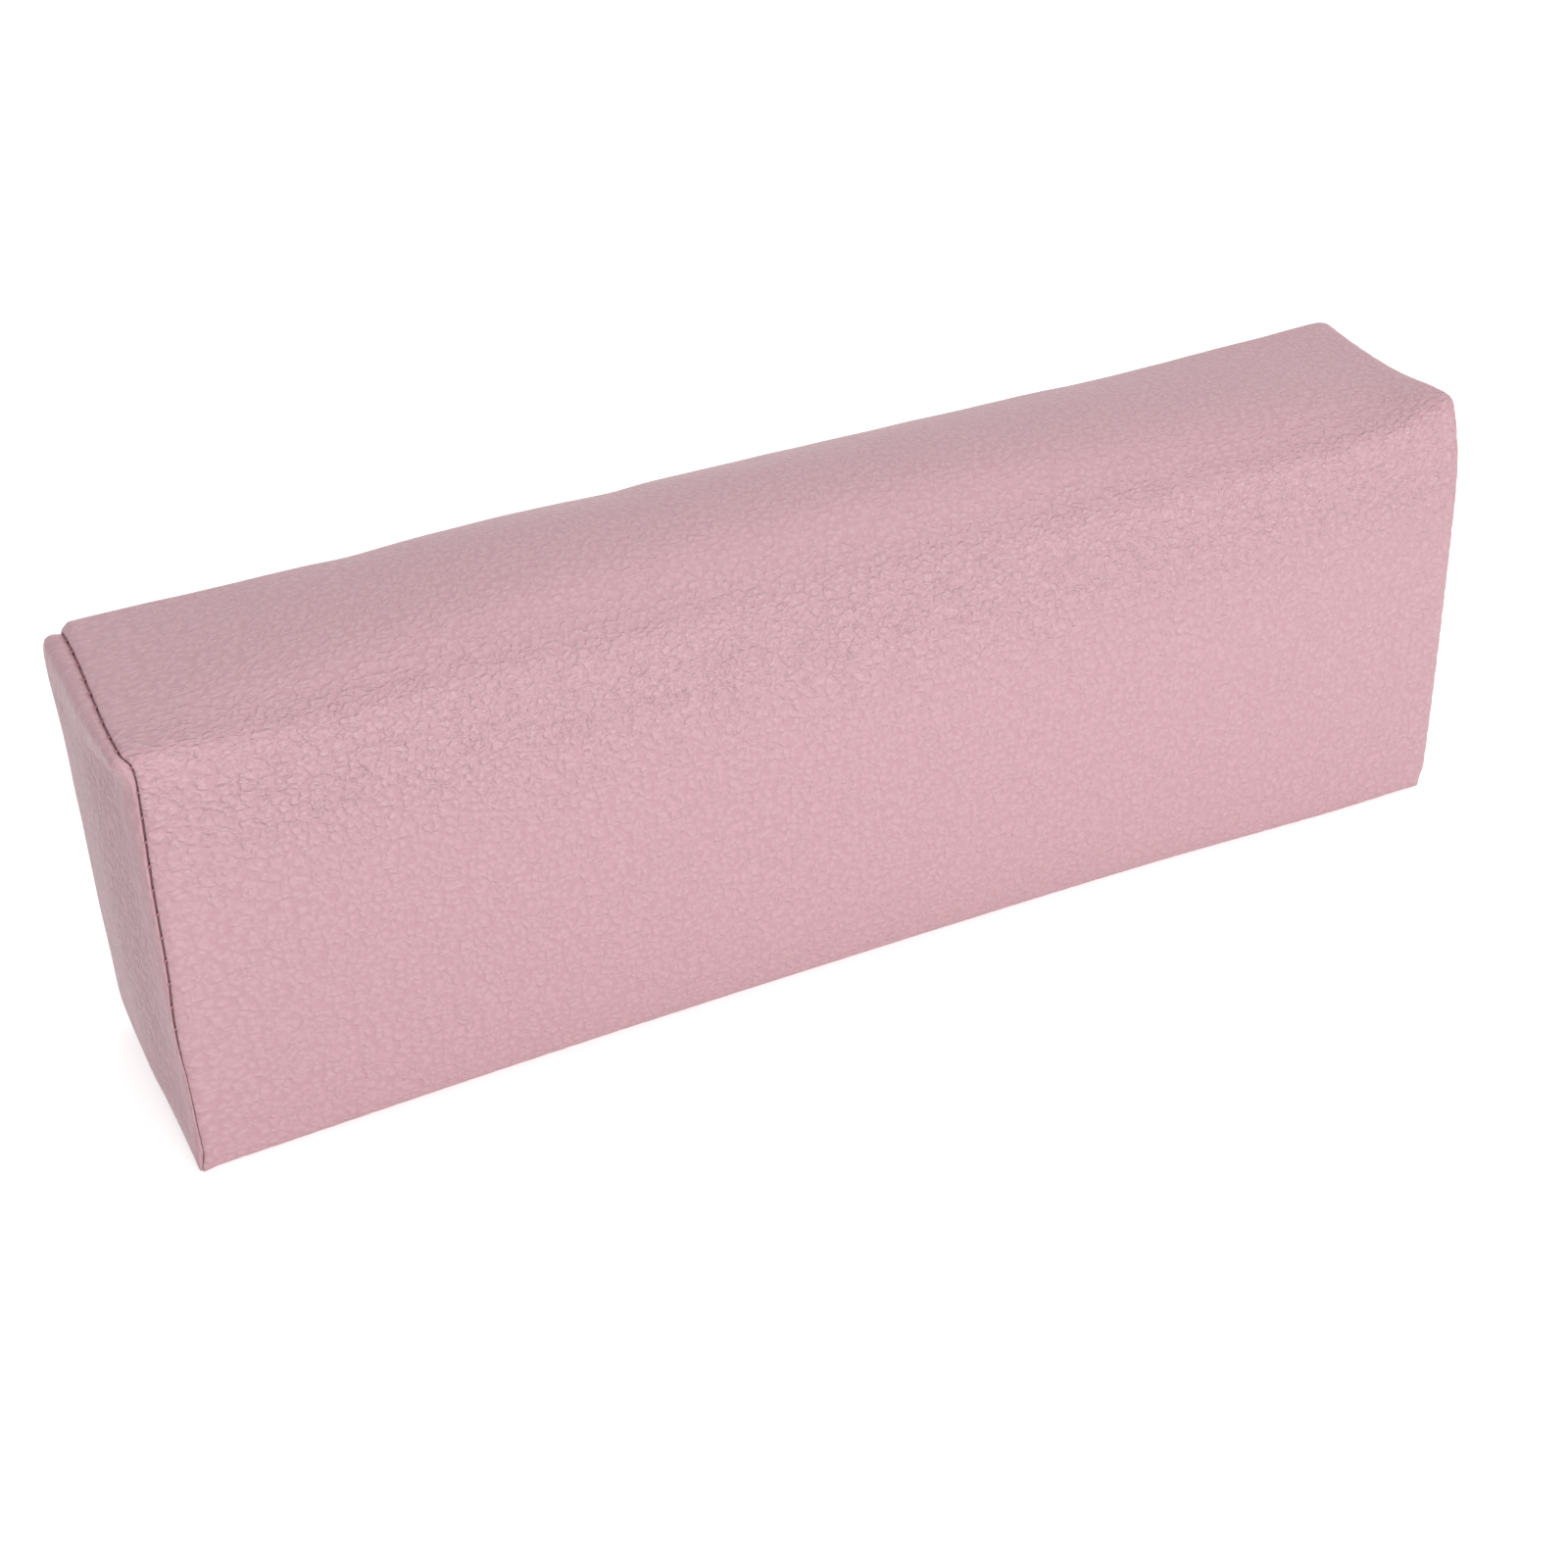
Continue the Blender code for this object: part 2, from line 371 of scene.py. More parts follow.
@dataclass(frozen=True)
class Shaping:
    """What sewing and use do to the cushion's form, past the foam's push.

    Attributes:
        end_bow: How far the upright end seams bow out.
        end_crown: How far an end panel stands out past its seams.
        end_hollow: How far the left and the right end's top seam draws in between its corners.
        back_fold: How much fuller the back fold is than the front one, at places along X, in mm.
        fold_reach: How far from the fold this goes.
        worn: How far the front fold is rounded off, where hands lean on it.
        worn_in: How far the fold goes back, for each part that it goes down.
        worn_reach: How far from the fold this goes.
        worn_fade: The share of the half length, from an end, over which this grows.
        worn_ends: The share of it that is there at the left and the right end.
        puffs: The corners that the foam fills more, or less, than the rest.
        foot_pull: How far the long bottom seams draw in, mid-length.
        foot_lift: How far they rise, mid-length.
        end_reach: The power that keeps the ends' shape near the ends.
        foot_reach: The power that keeps the foot's shape near the foot.
        flat_share: The share of the foot's depth that stays on the table.
    """

    end_bow: float = 0.3 * MM
    end_crown: float = 0.4 * MM
    end_hollow: tuple[float, float] = (-0.6 * MM, 2.2 * MM)
    back_fold: tuple[tuple[float, float], ...] = (
        (-147, 0.0), (-125, 0.1), (-110, 0.1), (-97, 0.25), (-88, 0.15), (-80, 0.6), (-73, 1.1), (-65, 1.25),
        (-57, 1.65), (-40, 1.5), (-30, 1.15), (-22, 1.6), (-10, 1.7), (5, 1.4), (20, 0.85), (41, 0.33),
        (52, -0.12), (70, -0.4), (83, -0.9), (103, -1.1), (124, -1.1), (147, -0.8),
    )
    fold_reach: float = 20.0 * MM
    worn: float = 3.6 * MM
    worn_in: float = 0.6
    worn_reach: float = 13.0 * MM
    worn_fade: float = 0.22
    worn_ends: tuple[float, float] = (0.0, 0.45)
    puffs: tuple[Puff, ...] = (
        Puff((-147.0, 28.0, 94.0), (-1.0, 0.0, 0.0), 12.0),
        Puff((147.0, -23.0, 102.0), (-0.6, 0.0, 3.4), 11.0),
        Puff((149.0, -30.0, 99.5), (-0.2, 2.5, 0.0), 6.0),
        Puff((147.0, -28.0, 0.0), (0.0, 0.3, 0.6), 15.0),
    )
    foot_pull: float = 1.6 * MM
    foot_lift: float = 0.6 * MM
    end_reach: float = 5.0
    foot_reach: float = 4.0
    flat_share: float = 0.6

    def applied(self, points: np.ndarray, block: Block) -> np.ndarray:
        """Moves points of the settled cushion.

        Args:
            points: The points, in metres.
            block: The block that the cover is cut for.

        Returns:
            The moved points.
        """
        x, y, z = points[..., 0], points[..., 1], points[..., 2]
        lengthways, sideways = 2 * x / block.length, 2 * y / block.depth
        upwards = np.clip(z / block.height, 0.0, 1.0)
        loose = np.clip(1 - lengthways**2, 0.0, 1.0)
        belly = np.sin(math.pi * upwards)
        ridge = np.cos(math.pi / 2 * np.clip(sideways, -1.0, 1.0))
        low = (1 - upwards) ** self.foot_reach
        edge = eased((np.abs(sideways) - self.flat_share) / (1 - self.flat_share))
        hollow = np.where(x < 0, *self.end_hollow)
        out = (self.end_bow + self.end_crown * ridge) * belly - hollow * ridge * upwards**3
        pull = np.sign(lengthways) * np.clip(np.abs(lengthways), 0.0, 1.1) ** self.end_reach
        off_fold = (y - block.depth / 2) ** 2 + (z - block.height) ** 2
        spots, amounts = np.array(self.back_fold).T * MM
        fuller = np.interp(x, spots, amounts) * np.exp(-off_fold / self.fold_reach**2)
        off_front = (y + block.depth / 2) ** 2 + (z - block.height) ** 2
        at_end, inland = np.where(x < 0, *self.worn_ends), eased((1 - np.abs(lengthways)) / self.worn_fade)
        worn = self.worn * (at_end + (1 - at_end) * inland) * np.exp(-off_front / self.worn_reach**2)
        drawn = np.clip(sideways, -1.1, 1.1) * loose * self.foot_pull * low
        moved = points + sum(puff.push(points) for puff in self.puffs)
        moved[..., 0] += pull * out
        moved[..., 1] += fuller + self.worn_in * worn - drawn
        moved[..., 2] += fuller - worn + loose * self.foot_lift * edge * low
        return moved


@dataclass(frozen=True)
class Seat:
    """Where the seam round an end lies, from the sharp edge between the wrap and the end panel.

    Each place is a way out past the end and a way out past the wrap.

    Attributes:
        lip: Where the wrap turns in to the seam.
        mouth: The seam's mouth.
        brink: Where the end panel turns in to the seam.
        opening: The direction into the opening.
    """

    lip: tuple[float, float]
    mouth: tuple[float, float]
    brink: tuple[float, float]
    opening: tuple[float, float]


@dataclass(frozen=True)
class Roll:
    """How a panel's border rolls in to its seam.

    Attributes:
        reach: How far from the seam the roll starts.
        fan: How far from a corner the border's points spread out to fill it.
        depth: How deep a mitred seam lies below the sharp edge of its two faces.
        seats: Where the seams round the left and the right end lie.
        wander: How far the left end's seam strays along X, at places from its front foot, in millimetres.
        corner_dip: How much deeper it lies at the back corner of the top, where the wrap is drawn down.
        easing: How far on its way the roll starts to turn, from 0 to 1.
        fullness: How far the roll swells towards its turn, from 0 to 1.
        slot: How far the open seam runs on inwards.
        slot_rows: The rows of points in the open seam: the share of the way in, and of the width.
        stands: How far the left and the right end panel stand out past the block's ends.
        stand_rise: How far up the end panel it stands out in full.
        front_hold: How much less the left end panel stands out along its front seam.
        hold_reach: How far from that seam this goes.
        fit_reach: How far from its border an end panel follows the wrap's rounded end.
        steps: How many rows of points the roll has.
    """

    reach: float = 4.0 * MM
    fan: float = 16.0 * MM
    depth: float = 2.6 * MM
    seats: tuple[Seat, Seat] = (
        Seat((-1.85 * MM, 0.0), (-1.85 * MM, -0.7 * MM), (0.0, -0.7 * MM), (-0.35, -1.0)),
        Seat((1.9 * MM, 0.0), (0.9 * MM, -3.0 * MM), (1.3 * MM, -3.2 * MM), (-1.0, -0.35)),
    )
    wander: tuple[tuple[float, float], ...] = (
        (0, 0.0), (9, -0.2), (17, -0.25), (25, -0.35), (32, -0.7), (38, -0.65), (43, -0.45), (49, 0.0),
        (56, 0.15), (70, 0.3), (87, 0.85), (95, 0.95), (98.5, 0.6), (102.5, -0.6), (109, -0.6),
        (115, -0.47), (124, -0.1), (139, 0.35), (153, 0.6), (157, 0.3), (200, 0.0), (256, 0.0),
    )
    corner_dip: float = 1.1 * MM
    easing: float = 0.62
    fullness: float = 0.85
    slot: float = 0.6 * MM
    slot_rows: tuple[tuple[float, float], ...] = ((0.3, 1.0), (0.75, 0.85))
    stands: tuple[float, float] = (1.6 * MM, 0.3 * MM)
    stand_rise: float = 12.0 * MM
    front_hold: float = 2.7 * MM
    hold_reach: float = 26.0 * MM
    fit_reach: float = 12.0 * MM
    steps: int = 6

    def drawn_in(self, nodes: np.ndarray) -> np.ndarray:
        """Places on a panel's face, inside the roll, for places along its seams."""
        near = np.clip(1 - nodes / self.fan, 0.0, 1.0) ** 2
        far = np.clip(1 - (nodes[-1] - nodes) / self.fan, 0.0, 1.0) ** 2
        return nodes + self.reach * (near - far)


@dataclass
class SeamRun:
    """One run of seam, from corner to corner.

    Attributes:
        edge: Where the faces' smooth surfaces meet.
        sink: The way from there to the seam's mouth at each point.
        lip: The way from the edge to where the wrap turns in to the seam.
        brink: The way from the edge to where an end panel turns in to it.
        inward: The direction of the opening, into the cushion.
        pull: How far the thread draws the mouth in at each point.
        gap: Half the width of the opening at each point.
        slot: How far the opening runs on inwards.
    """

    edge: np.ndarray
    sink: np.ndarray
    lip: np.ndarray
    brink: np.ndarray
    inward: np.ndarray
    pull: np.ndarray
    gap: np.ndarray
    slot: float

    def crease(self) -> np.ndarray:
        """The middle of the seam's mouth."""
        return self.edge + self.sink + self.inward * self.pull[:, None]

    def floor(self) -> np.ndarray:
        """The inner end of the opening, where both panels meet."""
        return self.crease() + self.inward * self.slot

    def travel(self) -> np.ndarray:
        """The distance along the seam at each point."""
        steps = np.linalg.norm(np.diff(self.crease(), axis=0), axis=1)
        return np.concatenate([[0.0], np.cumsum(steps)])


@dataclass
class Nodes:
    """The places along the block's edges where the skin has points.

    Attributes:
        block: The block.
        step: The usual distance between two points.
    """

    block: Block
    step: float = 1.15 * MM
    x: np.ndarray = field(init=False)
    y: np.ndarray = field(init=False)
    z: np.ndarray = field(init=False)
    strip: np.ndarray = field(init=False)

    def __post_init__(self) -> None:
        """Spaces the points evenly along each edge and along the wrap."""
        self.x, self.y, self.z = (
            np.linspace(0.0, span, 2 * round(span / self.step / 2) + 1)
            for span in (self.block.length, self.block.depth, self.block.height)
        )
        height, depth = self.block.height, self.block.depth
        back = height + depth + self.z[1:]
        self.strip = np.concatenate([self.z, height + self.y[1:], back])


@dataclass(frozen=True)
class Sewing:
    """The stitches and the opening of the seams.

    Attributes:
        pitch: The distance between two bites of the thread.
        pucker: How much deeper the seam lies at a bite.
        bite_width: How far along the seam a pucker reaches.
        open_gap: Half the opening of the left end's seam at its top and upper front.
        shut_gap: Half the opening of a seam that is closed.
        opens: Where up the front leg the seam starts to open, and over what rise, as shares of the height.
        shuts: Where down the back leg it starts to close, and over what drop, as shares of the height.
        corner_reach: How far from a corner of three panels the seams turn towards it.
    """

    pitch: float = 5.5 * MM
    pucker: float = 0.35 * MM
    bite_width: float = 0.7 * MM
    open_gap: float = 0.23 * MM
    shut_gap: float = 0.06 * MM
    opens: tuple[float, float] = (0.22, 0.2)
    shuts: tuple[float, float] = (0.2, 0.3)
    corner_reach: float = 6.0 * MM

    def bites(self, length: float) -> np.ndarray:
        """The places of the bites on a seam of this length."""
        count = max(1, round(length / self.pitch))
        return (np.arange(count) + 0.5) * length / count

    def pull(self, travel: np.ndarray) -> np.ndarray:
        """How much deeper the seam lies at each place along it."""
        near = np.abs(travel[:, None] - self.bites(travel[-1])[None, :]).min(axis=1)
        return self.pucker * np.exp(-((near / self.bite_width) ** 2))


class Cushion:
    """The closed, sewn skin of the hand rest."""

    def __init__(self, block: Block, filling: Filling, shaping: Shaping, roll: Roll, sewing: Sewing) -> None:
        """Settles the cushion and works out its panels and seams.

        Args:
            block: The block that the cover is cut for.
            filling: The foam's push.
            shaping: What sewing and use do to the form.
            roll: How the borders roll in.
            sewing: The stitches and the seams' openings.
        """
        self.block, self.roll, self.sewing = block, roll, sewing
        self.cells = filling.cells
        self.nodes = Nodes(block)
        grids = filling.settle()
        turned = {Panel.WRAP: False, Panel.BOTTOM: True, Panel.LEFT: True, Panel.RIGHT: False}
        self.faces = {
            panel: SmoothFace(shaping.applied(grid, block), turned[panel]) for panel, grid in grids.items()
        }
        self.seams = self.sew()

    def steps(self, panel: Panel, rows: np.ndarray, columns: np.ndarray) -> tuple[np.ndarray, np.ndarray]:
        """Turns places on a panel, in metres, into steps of its control grid."""
        nx, ny, nz = self.cells
        block = self.block
        if panel is Panel.WRAP:
            knots = [0.0, block.height, block.height + block.depth, block.strip]
            return rows / block.length * nx, np.interp(columns, knots, [0, nz, nz + ny, 2 * nz + ny])
        if panel is Panel.BOTTOM:
            return rows / block.length * nx, columns / block.depth * ny
        return rows / block.depth * ny, columns / block.height * nz

    def point(self, panel: Panel, rows: np.ndarray, columns: np.ndarray) -> np.ndarray:
        """Points on a panel's smooth surface, at places in metres."""
        return self.faces[panel].at(*self.steps(panel, rows, columns))

    def normal(self, panel: Panel, rows: np.ndarray, columns: np.ndarray) -> np.ndarray:
        """Outward normals on a panel's smooth surface, at places in metres."""
        return self.faces[panel].normals(*self.steps(panel, rows, columns))

    def sew(self) -> dict[Seam, SeamRun]:
        """Works out the six runs of seam."""
        x, y, z, strip = self.nodes.x, self.nodes.y, self.nodes.z, self.nodes.strip
        ends = np.array([0.0, self.block.length])
        sides = np.array([0.0, self.block.depth])
        lips = np.array([0.0, self.block.strip])
        wrap_ends = self.point(Panel.WRAP, ends, strip)
        wrap_out = self.normal(Panel.WRAP, ends, strip)
        foot_ends = self.point(Panel.BOTTOM, ends, y)
        foot_out = self.normal(Panel.BOTTOM, ends, y)
        long_edges = self.point(Panel.BOTTOM, x, sides)
        long_foot = self.normal(Panel.BOTTOM, x, sides)
        long_wrap = self.normal(Panel.WRAP, x, lips)
        runs: dict[Seam, SeamRun] = {}
        for n, (panel, arch, foot) in enumerate(
            ((Panel.LEFT, Seam.LEFT_ARCH, Seam.LEFT_FOOT), (Panel.RIGHT, Seam.RIGHT_ARCH, Seam.RIGHT_FOOT))
        ):
            legs = self.normal(panel, sides, z)
            level = self.normal(panel, y, np.array([0.0, self.block.height]))
            out = np.concatenate([legs[0], level[1:, 1], legs[1][-2::-1]])
            runs[arch] = self.arch_run(wrap_ends[n], wrap_out[n], out, self.roll.seats[n])
            if panel is Panel.LEFT:
                self.stray(runs[arch], wrap_out[n])
            runs[foot] = self.mitred_run(foot_ends[n], foot_out[n], level[:, 0])
        runs[Seam.FRONT_FOOT] = self.mitred_run(long_edges[:, 0], long_foot[:, 0], long_wrap[:, 0])
        runs[Seam.BACK_FOOT] = self.mitred_run(long_edges[:, 1], long_foot[:, 1], long_wrap[:, 1])
        self.join_corners(runs)
        for seam, run in runs.items():
            travel = run.travel()
            run.gap = self.gap_of(seam, travel)
            run.pull = self.sewing.pull(travel)
            run.pull[[0, -1]] = 0.0
        return runs

    def mitred_run(self, edge: np.ndarray, first_out: np.ndarray, second_out: np.ndarray) -> SeamRun:
        """A seam that lies in the mitre between two faces, given their outward normals."""
        inward = -unit(first_out + second_out)
        still, plain = np.zeros(len(edge)), 0 * inward
        return SeamRun(edge, inward * self.roll.depth, plain, plain, inward, still, still, self.roll.slot)

    def arch_run(self, edge: np.ndarray, wrap_out: np.ndarray, end_out: np.ndarray, seat: Seat) -> SeamRun:
        """A seam round an end.

        Args:
            edge: Where the wrap's and the end panel's smooth surfaces meet.
            wrap_out: The wrap's outward normals there.
            end_out: The end panel's outward normals there.
            seat: Where the seam lies.

        Returns:
            The run of seam.
        """
        lip, mouth, brink, opening = (
            past_end * end_out + past_wrap * wrap_out
            for past_end, past_wrap in (seat.lip, seat.mouth, seat.brink, seat.opening)
        )
        still = np.zeros(len(edge))
        return SeamRun(edge, mouth, lip, brink, unit(opening), still, still, self.roll.slot)

    def stray(self, run: SeamRun, wrap_out: np.ndarray) -> None:
        """Lets the left end's seam stray from its even line, and dip at the back corner of the top."""
        roll, block = self.roll, self.block
        aside = np.interp(self.nodes.strip, *np.array(roll.wander).T * MM)
        back = np.linalg.norm(run.edge[:, 1:] - [block.depth / 2, block.height], axis=1)
        move = -roll.corner_dip * np.exp(-((back / self.sewing.corner_reach) ** 2))[:, None] * wrap_out
        move[:, 0] += aside
        run.lip, run.sink = run.lip + move, run.sink + move
        run.brink[:, 0] += aside * (1 - eased((run.edge[:, 1] + block.depth / 2) / roll.reach))

    def join_corners(self, runs: dict[Seam, SeamRun]) -> None:
        """Brings the seams that meet at each corner of three panels together."""
        for meeting in CORNERS:
            inward = unit(sum(runs[seam].inward[end] for seam, end in meeting))
            sink = sum(runs[seam].sink[end] for seam, end in meeting) / 3
            for seam, end in meeting:
                run = runs[seam]
                away = np.linalg.norm(run.edge - run.edge[end], axis=1)
                share = eased(1 - away / self.sewing.corner_reach)[:, None]
                run.inward = unit(run.inward * (1 - share) + inward * share)
                run.sink = run.sink * (1 - share) + sink * share
                run.lip, run.brink = run.lip * (1 - share), run.brink * (1 - share)

    def gap_of(self, seam: Seam, travel: np.ndarray) -> np.ndarray:
        """Half the opening along a seam, from the distance along it."""
        sewing, block = self.sewing, self.block
        if seam not in (Seam.LEFT_ARCH, Seam.RIGHT_ARCH):
            return np.full(len(travel), sewing.shut_gap)
        (open_at, open_over), (shut_at, shut_over) = sewing.opens, sewing.shuts
        opening = eased((travel - open_at * block.height) / (open_over * block.height))
        down_back = travel - ((1 + shut_at) * block.height + block.depth)
        closing = eased(down_back / (shut_over * block.height))
        share = opening * (1 - closing)
        return sewing.shut_gap + (sewing.open_gap - sewing.shut_gap) * share

    def border(self, panel: Panel) -> tuple[list[tuple[int, int]], list[tuple[Seam, int]]]:
        """The grid places round a panel's border, with the seam point that each one rolls in to."""
        x, y, z, strip = (len(n) for n in (self.nodes.x, self.nodes.y, self.nodes.z, self.nodes.strip))
        if panel in (Panel.WRAP, Panel.BOTTOM):
            long = panel is Panel.WRAP
            rows, columns = x, strip if long else y
            first, last = (
                (Seam.LEFT_ARCH, Seam.RIGHT_ARCH) if long else (Seam.LEFT_FOOT, Seam.RIGHT_FOOT)
            )
            places = [(0, c) for c in range(columns)]
            seams = [(first, c) for c in range(columns)]
            places += [(r, columns - 1) for r in range(1, rows)]
            seams += [(Seam.BACK_FOOT, r) for r in range(1, rows)]
            places += [(rows - 1, c) for c in range(columns - 2, -1, -1)]
            seams += [(last, c) for c in range(columns - 2, -1, -1)]
            places += [(r, 0) for r in range(rows - 2, 0, -1)]
            seams += [(Seam.FRONT_FOOT, r) for r in range(rows - 2, 0, -1)]
            return places, seams
        arch, foot = (
            (Seam.LEFT_ARCH, Seam.LEFT_FOOT) if panel is Panel.LEFT else (Seam.RIGHT_ARCH, Seam.RIGHT_FOOT)
        )
        places = [(0, c) for c in range(z)]
        places += [(r, z - 1) for r in range(1, y)]
        places += [(y - 1, c) for c in range(z - 2, -1, -1)]
        seams = [(arch, n) for n in range(len(places))]
        places += [(r, 0) for r in range(y - 2, 0, -1)]
        seams += [(foot, r) for r in range(y - 2, 0, -1)]
        return places, seams

    def face_grid(self, panel: Panel) -> np.ndarray:
        """The points of a panel's face, inside its roll."""
        nodes, drawn = self.nodes, self.roll.drawn_in
        if panel is Panel.WRAP:
            return self.point(panel, drawn(nodes.x), drawn(nodes.strip))
        if panel is Panel.BOTTOM:
            return self.point(panel, drawn(nodes.x), drawn(nodes.y))
        grid = self.point(panel, drawn(nodes.y), drawn(nodes.z))
        grid = grid + self.fitted(panel)
        return grid + self.stand_off(panel, grid)

    def stand_off(self, panel: Panel, points: np.ndarray) -> np.ndarray:
        """How far a panel stands out past the seams' own edge, at each of its points."""
        if panel not in (Panel.LEFT, Panel.RIGHT):
            return np.zeros_like(points)
        roll, block = self.roll, self.block
        share = eased(points[..., 2] / roll.stand_rise)
        out = roll.stands[1] * share
        if panel is Panel.LEFT:
            near = 1 - eased((points[..., 1] + block.depth / 2) / roll.hold_reach)
            below = eased((block.height - points[..., 2]) / (2 * roll.reach))
            out = share * (roll.front_hold * near * below - roll.stands[0])
        return np.stack([out, 0 * share, 0 * share], axis=-1)

    def fitted(self, panel: Panel) -> np.ndarray:
        """How an end panel's face moves so that its border follows the wrap's rounded end."""
        nodes, reach = self.nodes, self.roll.fit_reach
        arch = self.seams[Seam.LEFT_ARCH if panel is Panel.LEFT else Seam.RIGHT_ARCH].edge
        legs = self.point(panel, np.array([0.0, self.block.depth]), nodes.z)
        level = self.point(panel, nodes.y, np.array([self.block.height]))[:, 0]
        high, wide = len(nodes.z), len(nodes.y)
        front = arch[:high] - legs[0]
        top = arch[high - 1 : high + wide - 1] - level
        back = arch[high + wide - 2 :][::-1] - legs[1]
        y, z = self.roll.drawn_in(nodes.y), self.roll.drawn_in(nodes.z)
        from_front, from_back = eased(1 - y / reach), eased(1 - (y[-1] + y[0] - y) / reach)
        from_top = eased(1 - (z[-1] + z[0] - z) / reach)
        move = from_front[:, None, None] * front[None] + from_back[:, None, None] * back[None]
        move = move + from_top[None, :, None] * top[:, None]
        corners = from_front[:, None] * from_top[None], from_back[:, None] * from_top[None]
        return move - corners[0][..., None] * front[-1] - corners[1][..., None] * back[-1]


@dataclass(frozen=True)
class GrainMap:
    """How the embossed grain lies on each panel, in millimetres.

    Attributes:
        stretch: How much the leather is drawn out lengthways at the left seam.
        fade: How far from that seam this fades, in millimetres.
        end_stretch: How much the grain of the end panels is drawn out upwards.
        end_squeeze: How many times narrower this makes it.
        relief: How high the pebbles stand at places along the wrap, which bends open over its front fold.
        end_relief: How high they stand on the end panels, inside their borders.
        tucked: How far past the left seam the grain is still stretched, in millimetres.
        border_relief: How high they stand at an end panel's border.
        border: How wide that border is, in millimetres.
        bottom_start: Where the bottom panel's grain starts in the pattern, in millimetres.
        end_starts: Where the left and the right end panel's grain start in it.
        hidden: The grain of the points inside the seams.
    """

    stretch: float = 0.38
    fade: float = 26.0
    end_stretch: float = 0.38
    end_squeeze: float = 1.3
    relief: tuple[tuple[float, float], ...] = (
        (0, 0.9), (62, 0.95), (84, 1.55), (98, 1.4), (114, 0.62), (150, 0.62), (176, 0.9),
    )
    end_relief: float = 2.0
    tucked: float = 8.0
    border_relief: float = 0.5
    border: float = 12.0
    bottom_start: float = -120.0
    end_starts: tuple[float, float] = (700.0, 900.0)
    hidden: tuple[float, float, float] = (500.0, 500.0, 0.0)

    def placed(self, panel: Panel, rows: np.ndarray, columns: np.ndarray) -> np.ndarray:
        """The grain's own coordinates for places on a panel.

        Args:
            panel: The panel.
            rows: Places along the panel's first direction, in metres.
            columns: Places along its second direction, in metres.

        Returns:
            The grain's coordinates, in millimetres, and how open the grain is.
        """
        first, second = rows * 1000, columns * 1000
        if panel is Panel.WRAP:
            shown = np.maximum(first, -self.tucked)
            drawn = first + self.stretch * self.fade * (np.exp(-shown / self.fade) - 1)
            return np.stack([drawn, second, np.interp(second, *np.array(self.relief).T)], axis=-1)
        if panel is Panel.BOTTOM:
            plain = np.full_like(first, self.relief[0][1])
            return np.stack([first, second + self.bottom_start, plain], axis=-1)
        inner = np.minimum(first, first[0, 0] + first[-1, 0] - first)
        inner = np.minimum(inner, np.minimum(second, second[0, 0] + second[0, -1] - second))
        high = self.border_relief + (self.end_relief - self.border_relief) * eased(inner / self.border)
        across = first * self.end_squeeze + self.end_starts[panel is Panel.RIGHT]
        return np.stack([across, second * (1 - self.end_stretch), high], axis=-1)


@dataclass
class Skin:
    """Gathers the points, faces and maps of the cushion's mesh.

    Attributes:
        points: The points' places.
        grain: Each point's place in the grain, and how open the grain is there.
        faces: The quads.
        count: How many points there are.
    """

    points: list[np.ndarray] = field(default_factory=list)
    grain: list[np.ndarray] = field(default_factory=list)
    faces: list[np.ndarray] = field(default_factory=list)
    count: int = 0

    def add(self, points: np.ndarray, grain: np.ndarray) -> np.ndarray:
        """Adds points with their grain and gives their numbers."""
        shape = points.shape[:-1]
        numbers = np.arange(self.count, self.count + int(np.prod(shape))).reshape(shape)
        self.points.append(points.reshape(-1, 3))
        self.grain.append(np.broadcast_to(grain, points.shape).reshape(-1, 3))
        self.count += numbers.size
        return numbers

    def grid(self, numbers: np.ndarray, turned: bool) -> None:
        """Adds the quads of a grid of point numbers."""
        corners = [numbers[:-1, :-1], numbers[1:, :-1], numbers[1:, 1:], numbers[:-1, 1:]]
        quads = np.stack([c.ravel() for c in corners], axis=1)
        self.faces.append(quads[:, ::-1] if turned else quads)

    def band(self, inner: np.ndarray, outer: np.ndarray, turned: bool) -> None:
        """Adds the quads between two closed loops of point numbers."""
        quads = np.stack([inner, np.roll(inner, -1), np.roll(outer, -1), outer], axis=1)
        self.faces.append(quads[:, ::-1] if turned else quads)

    def mesh(self, name: str) -> bpy.types.Mesh:
        """Makes the mesh, flat where it presses on the table, with the grain as a UV map in millimetres.

        Args:
            name: The mesh's name.

        Returns:
            The mesh, with smooth faces.
        """
        quads, grain = np.concatenate(self.faces), np.concatenate(self.grain)
        points = np.concatenate(self.points)
        points[:, 2] = np.maximum(points[:, 2], 0.0)
        mesh = bpy.data.meshes.new(name)
        mesh.from_pydata(points.tolist(), [], quads.tolist())
        mesh.shade_smooth()
        layer = mesh.uv_layers.new(name="Grain")
        layer.data.foreach_set("uv", grain[quads.ravel(), :2].astype(np.float32).ravel())
        opened = mesh.attributes.new("Grain_open", "FLOAT", "POINT")
        opened.data.foreach_set("value", grain[:, 2].astype(np.float32))
        mesh.validate()
        return mesh


